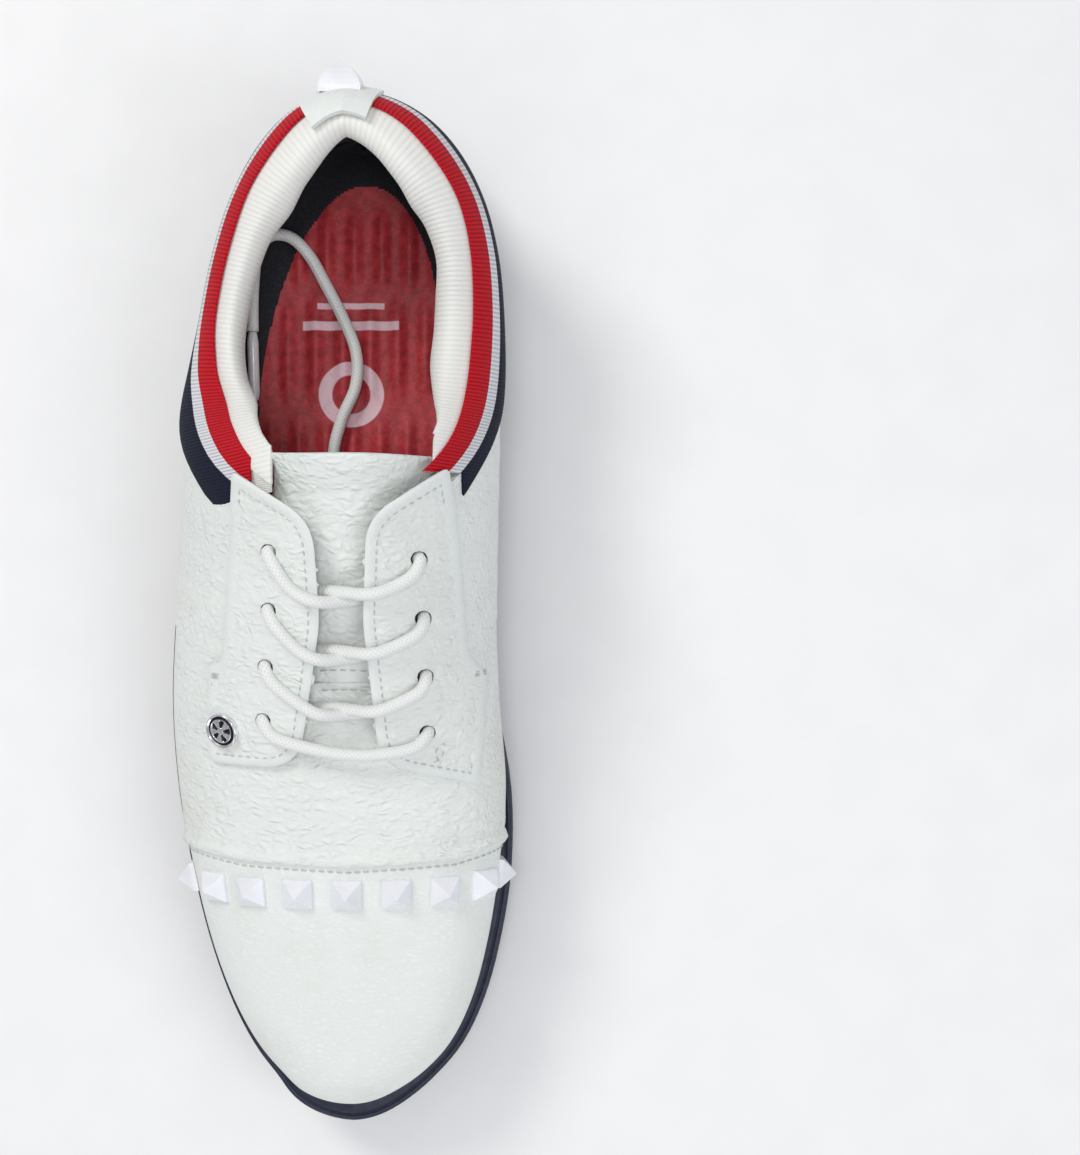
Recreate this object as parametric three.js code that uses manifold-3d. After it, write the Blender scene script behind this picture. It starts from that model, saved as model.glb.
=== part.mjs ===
// A laced golf shoe for the right foot, built as its maker builds it: a lasted leather upper on a
// moulded sole unit. Millimetres, +Z up, toe towards -Y, heel towards +Y, inner (medial) side +X.
import * as THREE from "three";
import { mergeVertices } from "three/addons/utils/BufferGeometryUtils.js";
import Module from "manifold-3d";

const wasm = await Module();
wasm.setup();

// ---------------------------------------------------------------- driving dimensions
const UPPER_LENGTH = 263.2; // toe tip to heel, outside the leather
const BALL_WIDTH = 87.6; // across the ball, outside the leather
const CLEARANCE = 0.3; // between pieces that touch on the real shoe
const LEATHER = 1.4; // main leather
const OVERLAY = 1.2; // facings, ribbon and heel tab
const STIFFENER = 0.8; // toe puff and heel counter
const LINING = 1.0;
const BOARD = 1.8; // insole board
const FOOTBED_FOAM = 3.6;
const FOOTBED_COVER = 0.8;
const OUTSOLE_BASE = 2.6; // rubber above the lugs
const LUG_HEIGHT = 3;
const LUG_WIDTH = 7.5;
const LUG_PITCH = 16;
const TOE_SPRING = 9; // rise of the sole at the toe tip
const SOLE_MARGIN = 3.6; // sole beyond the upper along the sides
const SOLE_MARGIN_TOE = 3; // more of it at the toe tip
const WELT_HEIGHT = 2.4;
const SHANK_LENGTH = 96;
const SHANK_WIDTH = 14;
const SHANK_THICKNESS = 1.6;
const LACE_DIAMETER = 3.2;
const EYELET_DIAMETER = 4.6;
const AGLET_LENGTH = 18;
const TONGUE_COVER = 1.2;
const TONGUE_FOAM = 2.6;
const STUD_WIDTH = 7.6;
const STUD_HEIGHT = 4.8;
const STUD_PITCH = 12.7;
const HEEL_STUD_WIDTH = 10;
const HEEL_STUD_HEIGHT = 6;
const RIVET_DIAMETER = 9.2;
const RIVET_HEIGHT = 1.9;
const RIVET_POST_DIAMETER = 3;
const RIBBON_DEPTH = 20; // how far the ribbon comes down from the topline
const HEEL_TAB_WIDTH = 20.6;

// ---------------------------------------------------------------- sample size and grading
// Every curve below is drawn on the sample last and graded to the size above.
const SAMPLE_LENGTH = 263.2;
const SAMPLE_WIDTH = 87.6;
const gradeX = BALL_WIDTH / SAMPLE_WIDTH;
const gradeY = UPPER_LENGTH / SAMPLE_LENGTH;
const HALF = SAMPLE_LENGTH / 2;

const stationAt = (y) => Math.acos(THREE.MathUtils.clamp(-y / HALF, -1, 1)) / Math.PI;
const yAt = (a) => -HALF * Math.cos(Math.PI * a);

// A smooth curve through [y, value] points, as a function of the station 0 (toe) to 1 (heel).
function along(points) {
  const at = points.map(([y]) => stationAt(y));
  const value = points.map((p) => p[1]);
  const last = points.length - 1;
  const slope = (i) => (value[i + 1] - value[i]) / (at[i + 1] - at[i]);
  const tangent = value.map((_, i) => {
    if (i === 0) return slope(0);
    if (i === last) return slope(last - 1);
    const before = at[i] - at[i - 1];
    const after = at[i + 1] - at[i];
    return (slope(i - 1) * after + slope(i) * before) / (before + after);
  });
  return (a) => {
    const here = THREE.MathUtils.clamp(a, at[0], at[last]);
    let i = 0;
    while (i < last - 1 && here > at[i + 1]) i += 1;
    const h = at[i + 1] - at[i];
    const t = (here - at[i]) / h;
    const s = 1 - t;
    const ends = value[i] * s * s * (1 + 2 * t) + value[i + 1] * t * t * (3 - 2 * t);
    return ends + h * s * t * (tangent[i] * s - tangent[i + 1] * t);
  };
}

// ---------------------------------------------------------------- the last (outside of the leather)
const lateralWidth = along([
  [-HALF, 0], [-127.5, 14], [-123, 18.6], [-115.5, 25], [-104, 31.6], [-88, 37.8], [-68, 42.8],
  [-46, 46.4], [-22, 47.6], [0, 46.2], [25, 43.6], [50, 42], [75, 38.8], [95, 34.4],
  [112, 27.6], [124, 17.6], [HALF, 0],
]);
const medialWidth = along([
  [-HALF, 0], [-127.5, 12.6], [-123, 19], [-115.5, 26], [-104, 31.8], [-88, 36.2], [-68, 39.4],
  [-46, 41.2], [-22, 39.6], [0, 38.8], [25, 39], [50, 39.2], [75, 38.4], [95, 36.2],
  [112, 30.8], [124, 20.6], [HALF, 0],
]);
const featherHeight = along([
  [-HALF, 22.5], [-110, 18], [-85, 15.5], [-55, 15], [-25, 16.5], [10, 20], [50, 23.5],
  [90, 25], [HALF, 25.5],
]);
const widestHeight = along([
  [-HALF, 30], [-110, 29], [-85, 28.5], [-55, 29], [-25, 31], [10, 35], [50, 38], [HALF, 39],
]);
const ridgeHeight = along([
  [-HALF, 30], [-129, 34.5], [-124, 38.2], [-115, 41.8], [-104, 44.3], [-88, 46.5], [-68, 49.5],
  [-46, 54.8], [-22, 64], [0, 74], [20, 83], [38, 92], [60, 102], [90, 110], [HALF, 112],
]);
const ridgeShift = along([[-HALF, 0], [-90, 1.5], [-40, 2], [0, 2], [38, 4.5], [70, 3], [HALF, 2]]);
const squareness = along([
  [-HALF, 2.2], [-90, 2.35], [-60, 2.2], [-20, 1.95], [10, 1.8], [40, 1.9], [70, 2.2], [HALF, 2.4],
]);
const centreShift = along([[-HALF, -0.9], [-100, -0.5], [60, 0], [100, 1.5], [HALF, 2.5]]);

const WALL = 0.8; // |b| where the rounded top ends and the side wall begins
const FEATHER_INSET = 2.5; // how far the wall tucks in at its foot
const HEEL_CURVE_HEIGHT = 38; // fullest height of the heel

// The heel leans in above and below its fullest height.
function heelLean(y, z) {
  const share = THREE.MathUtils.smoothstep(y, 40, 125);
  const above = Math.max(0, (z - HEEL_CURVE_HEIGHT) / 50);
  const below = Math.max(0, (HEEL_CURVE_HEIGHT - z) / 14);
  return share * (7.5 * above * above + 1.4 * below * below);
}

// A point of the last: a runs toe to heel, b from the lateral feather edge (-1) to the medial (1).
function lastPoint(a, b) {
  const y = yAt(a);
  const wideLateral = lateralWidth(a);
  const wideMedial = medialWidth(a);
  const fade = Math.min(1, Math.min(wideLateral, wideMedial) / 20);
  const ridge = ridgeShift(a) * fade;
  const side = b < 0 ? -1 : 1;
  const wide = b < 0 ? wideLateral + ridge : wideMedial - ridge;
  const angle = Math.min(1, Math.abs(b) / WALL) * (Math.PI / 2);
  const power = 2 / squareness(a);
  const down = Math.max(0, (Math.abs(b) - WALL) / (1 - WALL));
  const foot = widestHeight(a);
  const rise = (ridgeHeight(a) - foot) * Math.max(0, Math.cos(angle)) ** power;
  const z = foot + rise - (foot - featherHeight(a)) * down;
  const inset = FEATHER_INSET * fade * down * down;
  const x = ridge + side * (wide * Math.sin(angle) ** power - inset) + centreShift(a);
  return new THREE.Vector3(x * gradeX, (y - heelLean(y, z)) * gradeY, z);
}

function lastNormal(a, b) {
  if (a <= 0) return new THREE.Vector3(0, -1, 0);
  if (a >= 1) return new THREE.Vector3(0, 1, 0);
  const step = 0.004;
  const a0 = Math.max(step, a - step);
  const a1 = Math.min(1 - step, a + step);
  const b0 = Math.max(-1, b - step);
  const b1 = Math.min(1, b + step);
  const ahead = lastPoint(a1, b).sub(lastPoint(a0, b));
  const across = lastPoint(a, b1).sub(lastPoint(a, b0));
  return across.cross(ahead).normalize();
}

const onLast = (a, b, offset) => lastPoint(a, b).addScaledVector(lastNormal(a, b), offset);

// b of the point of station a that lies at plan distance x (sample millimetres).
function acrossAt(a, x) {
  const ridge = ridgeShift(a);
  const from = x - centreShift(a) - ridge;
  const wide = from < 0 ? lateralWidth(a) + ridge : medialWidth(a) - ridge;
  const sine = Math.min(1, Math.abs(from) / wide) ** (squareness(a) / 2);
  return Math.sign(from) * WALL * (Math.asin(sine) / (Math.PI / 2));
}

// |b| of the point of station a that lies at height z.
function acrossAtHeight(a, z) {
  const foot = widestHeight(a);
  if (z < foot) return WALL + (1 - WALL) * ((foot - z) / (foot - featherHeight(a)));
  const cosine = Math.min(1, (z - foot) / (ridgeHeight(a) - foot)) ** (squareness(a) / 2);
  return WALL * (Math.acos(cosine) / (Math.PI / 2));
}

const onPlan = (x, y, offset) => onLast(stationAt(y), acrossAt(stationAt(y), x), offset);
const normalAtPlan = (x, y) => lastNormal(stationAt(y), acrossAt(stationAt(y), x));

// ---------------------------------------------------------------- solids
// One closed manifold solid from a triangle soup, facing out.
function solidOf(positions) {
  const geometry = new THREE.BufferGeometry();
  geometry.setAttribute("position", new THREE.Float32BufferAttribute(positions, 3));
  const merged = mergeVertices(geometry, 1e-4);
  const index = merged.index.array;
  const triangles = [];
  for (let i = 0; i < index.length; i += 3) {
    const [p, q, r] = [index[i], index[i + 1], index[i + 2]];
    if (p !== q && q !== r && r !== p) triangles.push(p, q, r);
  }
  const build = (order) =>
    new wasm.Manifold(
      new wasm.Mesh({
        numProp: 3,
        vertProperties: merged.attributes.position.array,
        triVerts: new Uint32Array(order),
      }),
    );
  const made = build(triangles);
  return made.volume() < 0 ? build(triangles.reverse()) : made;
}

function geometrySolid(geometry) {
  const flat = geometry.index ? geometry.toNonIndexed() : geometry;
  return solidOf(flat.getAttribute("position").array);
}

const quad = (soup, p, q, r, s) => [p, q, r, p, r, s].forEach((v) => soup.push(v.x, v.y, v.z));

// The closed solid between two grids of points. Collapsed ends need no rim of their own.
function plate(outer, inner, rimAtEnds) {
  const soup = [];
  const rows = outer.length - 1;
  const columns = outer[0].length - 1;
  for (let i = 0; i < rows; i += 1) {
    for (let j = 0; j < columns; j += 1) {
      quad(soup, outer[i][j], outer[i + 1][j], outer[i + 1][j + 1], outer[i][j + 1]);
      quad(soup, inner[i][j], inner[i][j + 1], inner[i + 1][j + 1], inner[i + 1][j]);
    }
    quad(soup, outer[i][0], inner[i][0], inner[i + 1][0], outer[i + 1][0]);
    quad(soup, outer[i][columns], outer[i + 1][columns], inner[i + 1][columns], inner[i][columns]);
  }
  if (rimAtEnds) {
    for (let j = 0; j < columns; j += 1) {
      quad(soup, outer[0][j], outer[0][j + 1], inner[0][j + 1], inner[0][j]);
      quad(soup, outer[rows][j], inner[rows][j], inner[rows][j + 1], outer[rows][j + 1]);
    }
  }
  return solidOf(soup);
}

const steps = (count) => Array.from({ length: count + 1 }, (_, i) => i / count);
const between = (low, high, count) => steps(count).map((t) => low + (high - low) * t);

// A closed loop of points at each section, joined along the sweep.
function sweep(sections, closed) {
  const soup = [];
  const count = sections.length;
  const around = sections[0].length;
  for (let i = 0; i < (closed ? count : count - 1); i += 1) {
    const here = sections[i];
    const next = sections[(i + 1) % count];
    for (let j = 0; j < around; j += 1) {
      const k = (j + 1) % around;
      quad(soup, here[j], here[k], next[k], next[j]);
    }
  }
  if (!closed) {
    endCap(soup, sections[0], true);
    endCap(soup, sections[count - 1], false);
  }
  return solidOf(soup);
}

// The flat end of a sweep, wound to agree with the sides.
function endCap(soup, loop, first) {
  const origin = loop[0];
  const side = loop[1].clone().sub(origin).normalize();
  const opposite = loop[Math.floor(loop.length / 2)].clone().sub(origin);
  const up = side.clone().cross(opposite).cross(side).normalize();
  const flat = loop.map((p) => {
    const d = p.clone().sub(origin);
    return new THREE.Vector2(d.dot(side), d.dot(up));
  });
  const turned = THREE.ShapeUtils.isClockWise(flat) === first;
  THREE.ShapeUtils.triangulateShape(flat, []).forEach((triangle) => {
    const order = turned ? triangle : [...triangle].reverse();
    order.forEach((i) => soup.push(loop[i].x, loop[i].y, loop[i].z));
  });
}

// A flat outline from [x, y, radius] corners of the sample pattern, graded, with rounded corners.
function pattern(corners) {
  const points = corners.map(([x, y]) => new THREE.Vector2(x * gradeX, y * gradeY));
  const shape = new THREE.Shape();
  corners.forEach(([, , radius = 0], i) => {
    const here = points[i];
    const before = points[(i + points.length - 1) % points.length];
    const after = points[(i + 1) % points.length];
    const reach = (other) => Math.min(radius, 0.45 * here.distanceTo(other)) / here.distanceTo(other);
    const start = here.clone().lerp(before, reach(before));
    const end = here.clone().lerp(after, reach(after));
    if (i === 0) shape.moveTo(start.x, start.y);
    else shape.lineTo(start.x, start.y);
    if (radius > 0) shape.quadraticCurveTo(here.x, here.y, end.x, end.y);
  });
  shape.closePath();
  return shape;
}

const SKY = 160; // higher than any piece
// A knife with a pattern's outline, cutting straight down through the upper.
function knife(corners) {
  const options = { depth: 2 * SKY, bevelEnabled: false, curveSegments: 5 };
  return geometrySolid(new THREE.ExtrudeGeometry(pattern(corners), options).translate(0, 0, -SKY));
}

// A rod across a piece: a cylinder of the given radius centred on a point, along a direction.
function rod(point, direction, radius, length, sides) {
  const turn = new THREE.Quaternion().setFromUnitVectors(new THREE.Vector3(0, 1, 0), direction);
  const geometry = new THREE.CylinderGeometry(radius, radius, length, sides);
  return geometrySolid(geometry.applyQuaternion(turn).translate(point.x, point.y, point.z));
}

// ---------------------------------------------------------------- the finished shoe
const shoe = new THREE.Group();

function add(name, solid, color, roughness, metalness = 0) {
  const { numProp, vertProperties, triVerts } = solid.getMesh();
  const positions = [];
  for (const v of triVerts) positions.push(...vertProperties.subarray(v * numProp, v * numProp + 3));
  const geometry = new THREE.BufferGeometry();
  geometry.setAttribute("position", new THREE.Float32BufferAttribute(positions, 3));
  geometry.computeVertexNormals();
  const mesh = new THREE.Mesh(
    geometry,
    new THREE.MeshStandardMaterial({ color, roughness, metalness }),
  );
  mesh.name = name;
  shoe.add(mesh);
}

const WHITE_LEATHER = 0xe6e9e5;
const WHITE_RUBBER = 0xf0f0fa;
const WHITE_TEXTILE = 0xefefea;
const NAVY_RUBBER = 0x1a2238;
const DARK_LINING = 0x15161c;
const RIBBON_RED = 0xd0142b;
const FOOTBED_RED = 0xa02028;
const FOAM = 0xc9c4b8;
const BOARD_TAN = 0xb59a74;
const STEEL = 0xc4c6c8;

// ---------------------------------------------------------------- layers of the upper
const ROWS = 24; // also the rows of the collar, so that their facets stay parallel
const COLUMNS = 16;

// The whole upper as one layer between two distances from the last, thickness inwards.
function layer(outside, thickness) {
  const grid = (offset) =>
    steps(ROWS).map((a) => between(-1, 1, COLUMNS).map((b) => onLast(a, b, offset)));
  return plate(grid(outside), grid(outside - thickness), false);
}

const stiffenerFace = -LEATHER - CLEARANCE;
const liningFace = stiffenerFace - STIFFENER - CLEARANCE;
const overlayFace = CLEARANCE + OVERLAY;
const leatherLayer = layer(0, LEATHER);
const stiffenerLayer = layer(stiffenerFace, STIFFENER);
const liningLayer = layer(liningFace, LINING);
const overlayLayer = layer(overlayFace, OVERLAY);

// ---------------------------------------------------------------- topline
const toplineHeight = along([
  [30, 79], [36, 76], [45, 69], [55, 63.5], [65, 61], [76, 61], [90, 65.5], [105, 72.5],
  [118, 79], [HALF, 83],
]);
const LEATHER_DROP = 15; // the leather ends this far below the topline, under the ribbon
const LINING_DROP = 22.5; // and the lining this far, under the collar
const COLLAR_FRONT = 26; // y where the ribbon starts, beside the facings
const COLLAR_TURN = 36; // y where the topline turns down from the tongue
const PAD_FRONT = 42; // y where the foam and its lining start, behind the facings

// A knife that takes away what is higher than the topline less a drop, behind a given y.
function toplineKnife(drop, front) {
  const shape = new THREE.Shape();
  const far = HALF + 20;
  shape.moveTo(-front * gradeY, SKY);
  between(front, HALF, 24).forEach((y) => {
    shape.lineTo(-y * gradeY, toplineHeight(stationAt(y)) - drop);
  });
  shape.lineTo(-far * gradeY, toplineHeight(1) - drop);
  shape.lineTo(-far * gradeY, SKY);
  shape.closePath();
  const geometry = new THREE.ExtrudeGeometry(shape, { depth: 2 * SKY, bevelEnabled: false });
  geometry.translate(0, 0, -SKY).rotateX(Math.PI / 2).rotateZ(-Math.PI / 2);
  return geometrySolid(geometry);
}

// ---------------------------------------------------------------- pattern outlines
const FAR = 90; // outside the shoe on every side
const CAP_SEAM = [[-FAR, -52], [-44, -60.5], [-28, -63.2], [0, -64.6], [28, -63.2], [40, -60.5], [FAR, -50]];
const VAMP_BACK = [[-FAR, 18], [-36, -12], [-34, -38.4], [34, -43], [35, -14], [FAR, 18]];
const shift = (points, dy) => points.map(([x, y, r]) => [x, y + dy, r]);
const aheadOf = (line, dy) => [...shift(line, dy), [FAR, -2 * FAR], [-FAR, -2 * FAR]];
const behind = (line, dy) => [...shift(line, dy), [FAR, 2 * FAR], [-FAR, 2 * FAR]];

const FACING_LATERAL = [
  [-23.6, 37, 1], [-27.8, 5, 20], [-30, -10.4, 2], [-34.2, -12, 2], [-35.4, -36.9, 3],
  [-11.5, -38, 11], [-4, 0, 40], [-4.4, 25, 14],
];
const FACING_MEDIAL = [
  [26.4, 38, 1], [28.8, 20, 20], [30.6, -9, 6], [35.4, -14.6, 2], [33.4, -43.2, 1.5],
  [9, -36.5, 11], [6.2, 0, 40], [8, 25.5, 14],
];
const THROAT = [
  [-17, -44], [-9.4, -34, 4], [-7.2, 0, 30], [-7.4, 22.6, 12], [-26.5, 35.5], [-30, 60],
  [32, 60], [29, 36.5], [11, 22.6, 12], [9.4, 0, 30], [11.6, -34, 4], [20, -50],
];
const EYELETS = {
  lateral: [[-15.8, 17.2], [-16.7, 2.8], [-18.4, -11.4], [-19.9, -25.3]],
  medial: [[19.6, 15.5], [20.2, 0.7], [20.5, -14.1], [20.8, -28.7]],
};
const BACK_SEAM_X = 2.2;
const lateralHalf = [[-FAR, -2 * FAR], [BACK_SEAM_X - 0.15, -2 * FAR], [BACK_SEAM_X - 0.15, 2 * FAR], [-FAR, 2 * FAR]];
const medialHalf = [[FAR, -2 * FAR], [BACK_SEAM_X + 0.15, -2 * FAR], [BACK_SEAM_X + 0.15, 2 * FAR], [FAR, 2 * FAR]];

// ---------------------------------------------------------------- lace
const laceRadius = LACE_DIAMETER / 2;
const overFacing = overlayFace + CLEARANCE + laceRadius;
const underLeather = -LEATHER - CLEARANCE - laceRadius;

// Where a lace goes down through an eyelet: above it, in it and below it.
const throughEyelet = ([x, y]) => [[x, y, 1.6], [x, y, -1.2]];

// One crossing: up from under one facing, over the gap and down into the eyelet of the other.
function crossing(from, to, gapPoints) {
  const under = from[0] > 0 ? -1 : 1;
  return [
    ...throughEyelet(from),
    [from[0] + under * 3.2, from[1] + 1, underLeather],
    ...gapPoints,
  ];
}
const toLateral = (eyelet) => {
  const [, y] = eyelet;
  return [
    [9, y - 13.2, underLeather], [2, y - 13, -1.4], [-4.5, y - 11.3, overFacing - 0.3],
    [-9.5, y - 8.6, overFacing], [eyelet[0] + 2.6, y - 3.4, overFacing],
  ];
};
const toMedial = (eyelet) => {
  const [, y] = eyelet;
  return [
    [-6.5, y - 9.5, underLeather], [0.5, y - 8.8, -0.9], [7.6, y - 7.8, overFacing - 0.3],
    [13, y - 6, overFacing], [eyelet[0] - 2.2, y - 3, overFacing],
  ];
};
const { lateral: left, medial: right } = EYELETS;
const bar = [[-16.4, -28.8], [-7.6, -31.4], [1, -32.8], [9, -33], [17, -31.6]];
// From the lateral end at the top eyelet, down to the bar and up again to the medial top eyelet.
const towardsLateralTop = [
  ...crossing(right[3], left[2], toLateral(left[2])),
  ...crossing(left[2], right[1], toMedial(right[1])),
  ...crossing(right[1], left[0], toLateral(left[0])),
  ...throughEyelet(left[0]),
  [-18.6, 18.4, -3.6], [-21.5, 19.6, -4.6],
];
const towardsMedialTop = [
  ...crossing(left[3], right[2], toMedial(right[2])),
  ...crossing(right[2], left[1], toLateral(left[1])),
  ...crossing(left[1], right[0], toMedial(right[0])),
  ...throughEyelet(right[0]),
  [22.5, 16.6, -3.7], [25.8, 17.6, -4.6],
];
const lacePath = [
  ...towardsLateralTop.reverse(),
  ...bar.reverse().map(([x, y]) => [x, y, overFacing]),
  ...towardsMedialTop,
].map(([x, y, offset]) => onPlan(x, y, offset));

function tube(points, radius, count) {
  const curve = new THREE.CatmullRomCurve3(points, false, "centripetal");
  const ring = new THREE.Shape();
  ring.absarc(0, 0, radius, 0, 2 * Math.PI);
  const options = { steps: count, extrudePath: curve, curveSegments: 4, bevelEnabled: false };
  return geometrySolid(new THREE.ExtrudeGeometry(ring, options));
}
const laceSteps = 96;
const laceSolid = tube(lacePath, laceRadius, laceSteps);
const laceRoom = tube(lacePath, laceRadius + CLEARANCE, laceSteps);

// ---------------------------------------------------------------- leather panels
const eyeletHoles = [...left, ...right].map(([x, y]) =>
  rod(onPlan(x, y, 0), normalAtPlan(x, y), EYELET_DIAMETER / 2, 12, 12),
);
const punched = (solid) => eyeletHoles.reduce((made, hole) => made.subtract(hole), solid).subtract(laceRoom);

const RIVET_AT = [-30.4, -28];
const rivetPoint = onPlan(...RIVET_AT, 0);
const rivetNormal = normalAtPlan(...RIVET_AT);
const rivetHole = rod(rivetPoint, rivetNormal, RIVET_POST_DIAMETER / 2 + CLEARANCE, 16, 12);

// The vamp dips under the facings to a tab that the tongue is sewn to.
const TAB_DEPTH = underLeather - laceRadius - 2 * CLEARANCE;
const TAB_BACK = -17.5;
function patch(yFront, yBack, rowCount, columnCount, edgesAt, topAt, thickness) {
  const grid = (drop) =>
    between(yFront, yBack, rowCount).map((y) => {
      const [low, high] = edgesAt(y);
      return between(low, high, columnCount).map((x) => onPlan(x, y, topAt(y) - drop));
    });
  return plate(grid(0), grid(thickness), true);
}
const ramp = (y, y0, y1, v0, v1) => v0 + (v1 - v0) * THREE.MathUtils.clamp((y - y0) / (y1 - y0), 0, 1);
const throatTab = patch(
  -47, TAB_BACK, 7, 6, () => [-15, 18], (y) => ramp(y, -46.5, -38.4, -0.05, TAB_DEPTH), LEATHER,
);

const cap = knife(aheadOf(CAP_SEAM, -0.15));
const behindCap = knife(behind(CAP_SEAM, 0.15));
const vampBody = leatherLayer.intersect(behindCap).intersect(knife(aheadOf(VAMP_BACK, -0.15)));
const betweenFacings = knife([[-26, -10], [-23.2, 38.5], [26, 39.5], [28.6, -10]]);
const leatherTop = toplineKnife(LEATHER_DROP + CLEARANCE, COLLAR_FRONT - 1).subtract(betweenFacings);
const quarters = leatherLayer.intersect(knife(behind(VAMP_BACK, 0.15))).subtract(knife(THROAT));
const quartersReady = punched(quarters.subtract(leatherTop)).subtract(rivetHole);

add("toe_cap", leatherLayer.intersect(cap), WHITE_LEATHER, 0.5);
add("vamp", vampBody.add(throatTab).subtract(laceRoom), WHITE_LEATHER, 0.55);
add("quarter_lateral", quartersReady.intersect(knife(lateralHalf)), WHITE_LEATHER, 0.55);
add("quarter_medial", quartersReady.intersect(knife(medialHalf)), WHITE_LEATHER, 0.55);
const facingLateral = punched(overlayLayer.intersect(knife(FACING_LATERAL)));
add("facing_lateral", facingLateral.subtract(rivetHole), WHITE_LEATHER, 0.5);
add("facing_medial", punched(overlayLayer.intersect(knife(FACING_MEDIAL))), WHITE_LEATHER, 0.5);
add("lace", laceSolid, WHITE_TEXTILE, 0.7);

// ---------------------------------------------------------------- linings and stiffeners
const VAMP_LINING_BACK = -46.5; // the linings end here to leave room for the throat tab
const band = (y0, y1) => knife([[-FAR, y0], [FAR, y0], [FAR, y1], [-FAR, y1]]);
const underFacings = knife([
  [-37.5, -60], [-37.5, -8], [-33, 4], [-32, 40], [31, 40], [31, 4], [33, -60],
]);
const quarterLining = liningLayer
  .intersect(band(VAMP_LINING_BACK + CLEARANCE, FAR * 2))
  .subtract(toplineKnife(LINING_DROP, COLLAR_FRONT - 2))
  .subtract(underFacings);
add("vamp_lining", liningLayer.intersect(band(-2 * FAR, VAMP_LINING_BACK)), DARK_LINING, 0.8);
add("quarter_lining_lateral", quarterLining.intersect(knife(lateralHalf)), DARK_LINING, 0.8);
add("quarter_lining_medial", quarterLining.intersect(knife(medialHalf)), DARK_LINING, 0.8);

const COUNTER_FRONT = 78;
const COUNTER_TOP_DROP = 23;
add("toe_puff", stiffenerLayer.intersect(knife(aheadOf(CAP_SEAM, -9))), BOARD_TAN, 0.7);
add(
  "heel_counter",
  stiffenerLayer
    .intersect(band(COUNTER_FRONT, FAR * 2))
    .subtract(toplineKnife(COUNTER_TOP_DROP, COUNTER_FRONT - 2)),
  BOARD_TAN,
  0.7,
);

// ---------------------------------------------------------------- padded collar
// The collar's cross-section from the ribbon's lower edge, over the top, to the lining's lower edge:
// [inset from the last, drop below the topline].
const ROLL = [
  [-1.1, RIBBON_DEPTH], [-1.1, LEATHER_DROP], [1.2, 8.5], [3.5, 3.6], [6.5, 1.2], [9.6, 0], [12.5, 0.8],
  [15.2, 3.2], [16.4, 7], [15.6, 11.5], [12, 16], [7, 19.5], [3.9, 21.5],
];
const ROLL_TOP = 5; // where the ribbon ends and the lining begins
const rollDepth = along([[COLLAR_FRONT, 0.75], [COLLAR_TURN, 0.8], [45, 0.95], [55, 1], [85, 1], [110, 0.78], [122, 0.55], [HALF, 0.45]]);

// The cross-section's points moved out by a distance, in its own plane.
function rollProfile(points, distance) {
  return points.map(([inset, drop], i) => {
    const before = points[Math.max(0, i - 1)];
    const after = points[Math.min(points.length - 1, i + 1)];
    const run = new THREE.Vector2(after[0] - before[0], after[1] - before[1]).normalize();
    return [inset + run.y * distance, drop - run.x * distance];
  });
}

// Places a cross-section on the last at one station and side.
function rollSection(a, side, profile) {
  const topline = toplineHeight(a);
  const level = side * acrossAtHeight(a, topline);
  const inward = lastNormal(a, level).setZ(0).normalize().negate();
  return profile(rollDepth(a)).map(([inset, drop]) => {
    const z = topline - drop;
    return lastPoint(a, side * acrossAtHeight(a, z)).addScaledVector(inward, inset);
  });
}

// Sections from the lateral front, round the heel, to the medial front.
function roundTheCollar(front, profile) {
  const marks = [COLLAR_FRONT, COLLAR_TURN, PAD_FRONT].filter((y) => y >= front).map(stationAt);
  const stations = [...marks, ...steps(ROWS).filter((a) => a > stationAt(PAD_FRONT) + 0.01)];
  const lateral = stations.map((a) => rollSection(a, -1, profile));
  const medial = stations.slice(0, -1).map((a) => rollSection(a, 1, profile));
  return [...lateral, ...medial.reverse()];
}

const PAD_BACK = 3.1; // the foam's back face, inside the stiffener
const LINING_BACK = PAD_BACK + 0.6; // the lining's back face where the collar is thinnest
const scaled = (depth) =>
  ROLL.map(([inset, drop], i) => [
    i < ROLL_TOP ? inset * depth : Math.max(inset * depth, LINING_BACK + LINING),
    drop,
  ]);
// A strip of the collar from one point of the cross-section to another, between two distances out.
const strip = (from, to, low, high) => (depth) => {
  const side = (distance) => rollProfile(scaled(depth), distance).slice(from, to + 1);
  return [...side(high), ...side(low).reverse()];
};
const padProfile = (depth) =>
  rollProfile(scaled(depth), -(LINING + 3 * CLEARANCE))
    .slice(1, -1)
    .map(([inset, drop]) => [Math.max(PAD_BACK + 0.004 * (drop - LEATHER_DROP) ** 2, inset), drop]);
const facingRoom = (corners, dx) => knife(corners.map(([x, y, r]) => [x + dx, y, r]));
const clearOfFacings = (solid) =>
  solid
    .subtract(facingRoom(FACING_LATERAL, -CLEARANCE))
    .subtract(facingRoom(FACING_MEDIAL, CLEARANCE))
    .subtract(betweenFacings);

const ribbonStrip = strip(0, ROLL_TOP, CLEARANCE, CLEARANCE + OVERLAY);
const ribbon = sweep(roundTheCollar(COLLAR_FRONT, ribbonStrip), false);
add("collar_ribbon", clearOfFacings(ribbon), RIBBON_RED, 0.6);
add("collar_padding", sweep(roundTheCollar(PAD_FRONT, padProfile), false), FOAM, 0.9);
const liningStrip = strip(ROLL_TOP, ROLL.length - 1, -LINING, 0);
add("collar_lining", sweep(roundTheCollar(PAD_FRONT, liningStrip), false), WHITE_TEXTILE, 0.9);

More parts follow.
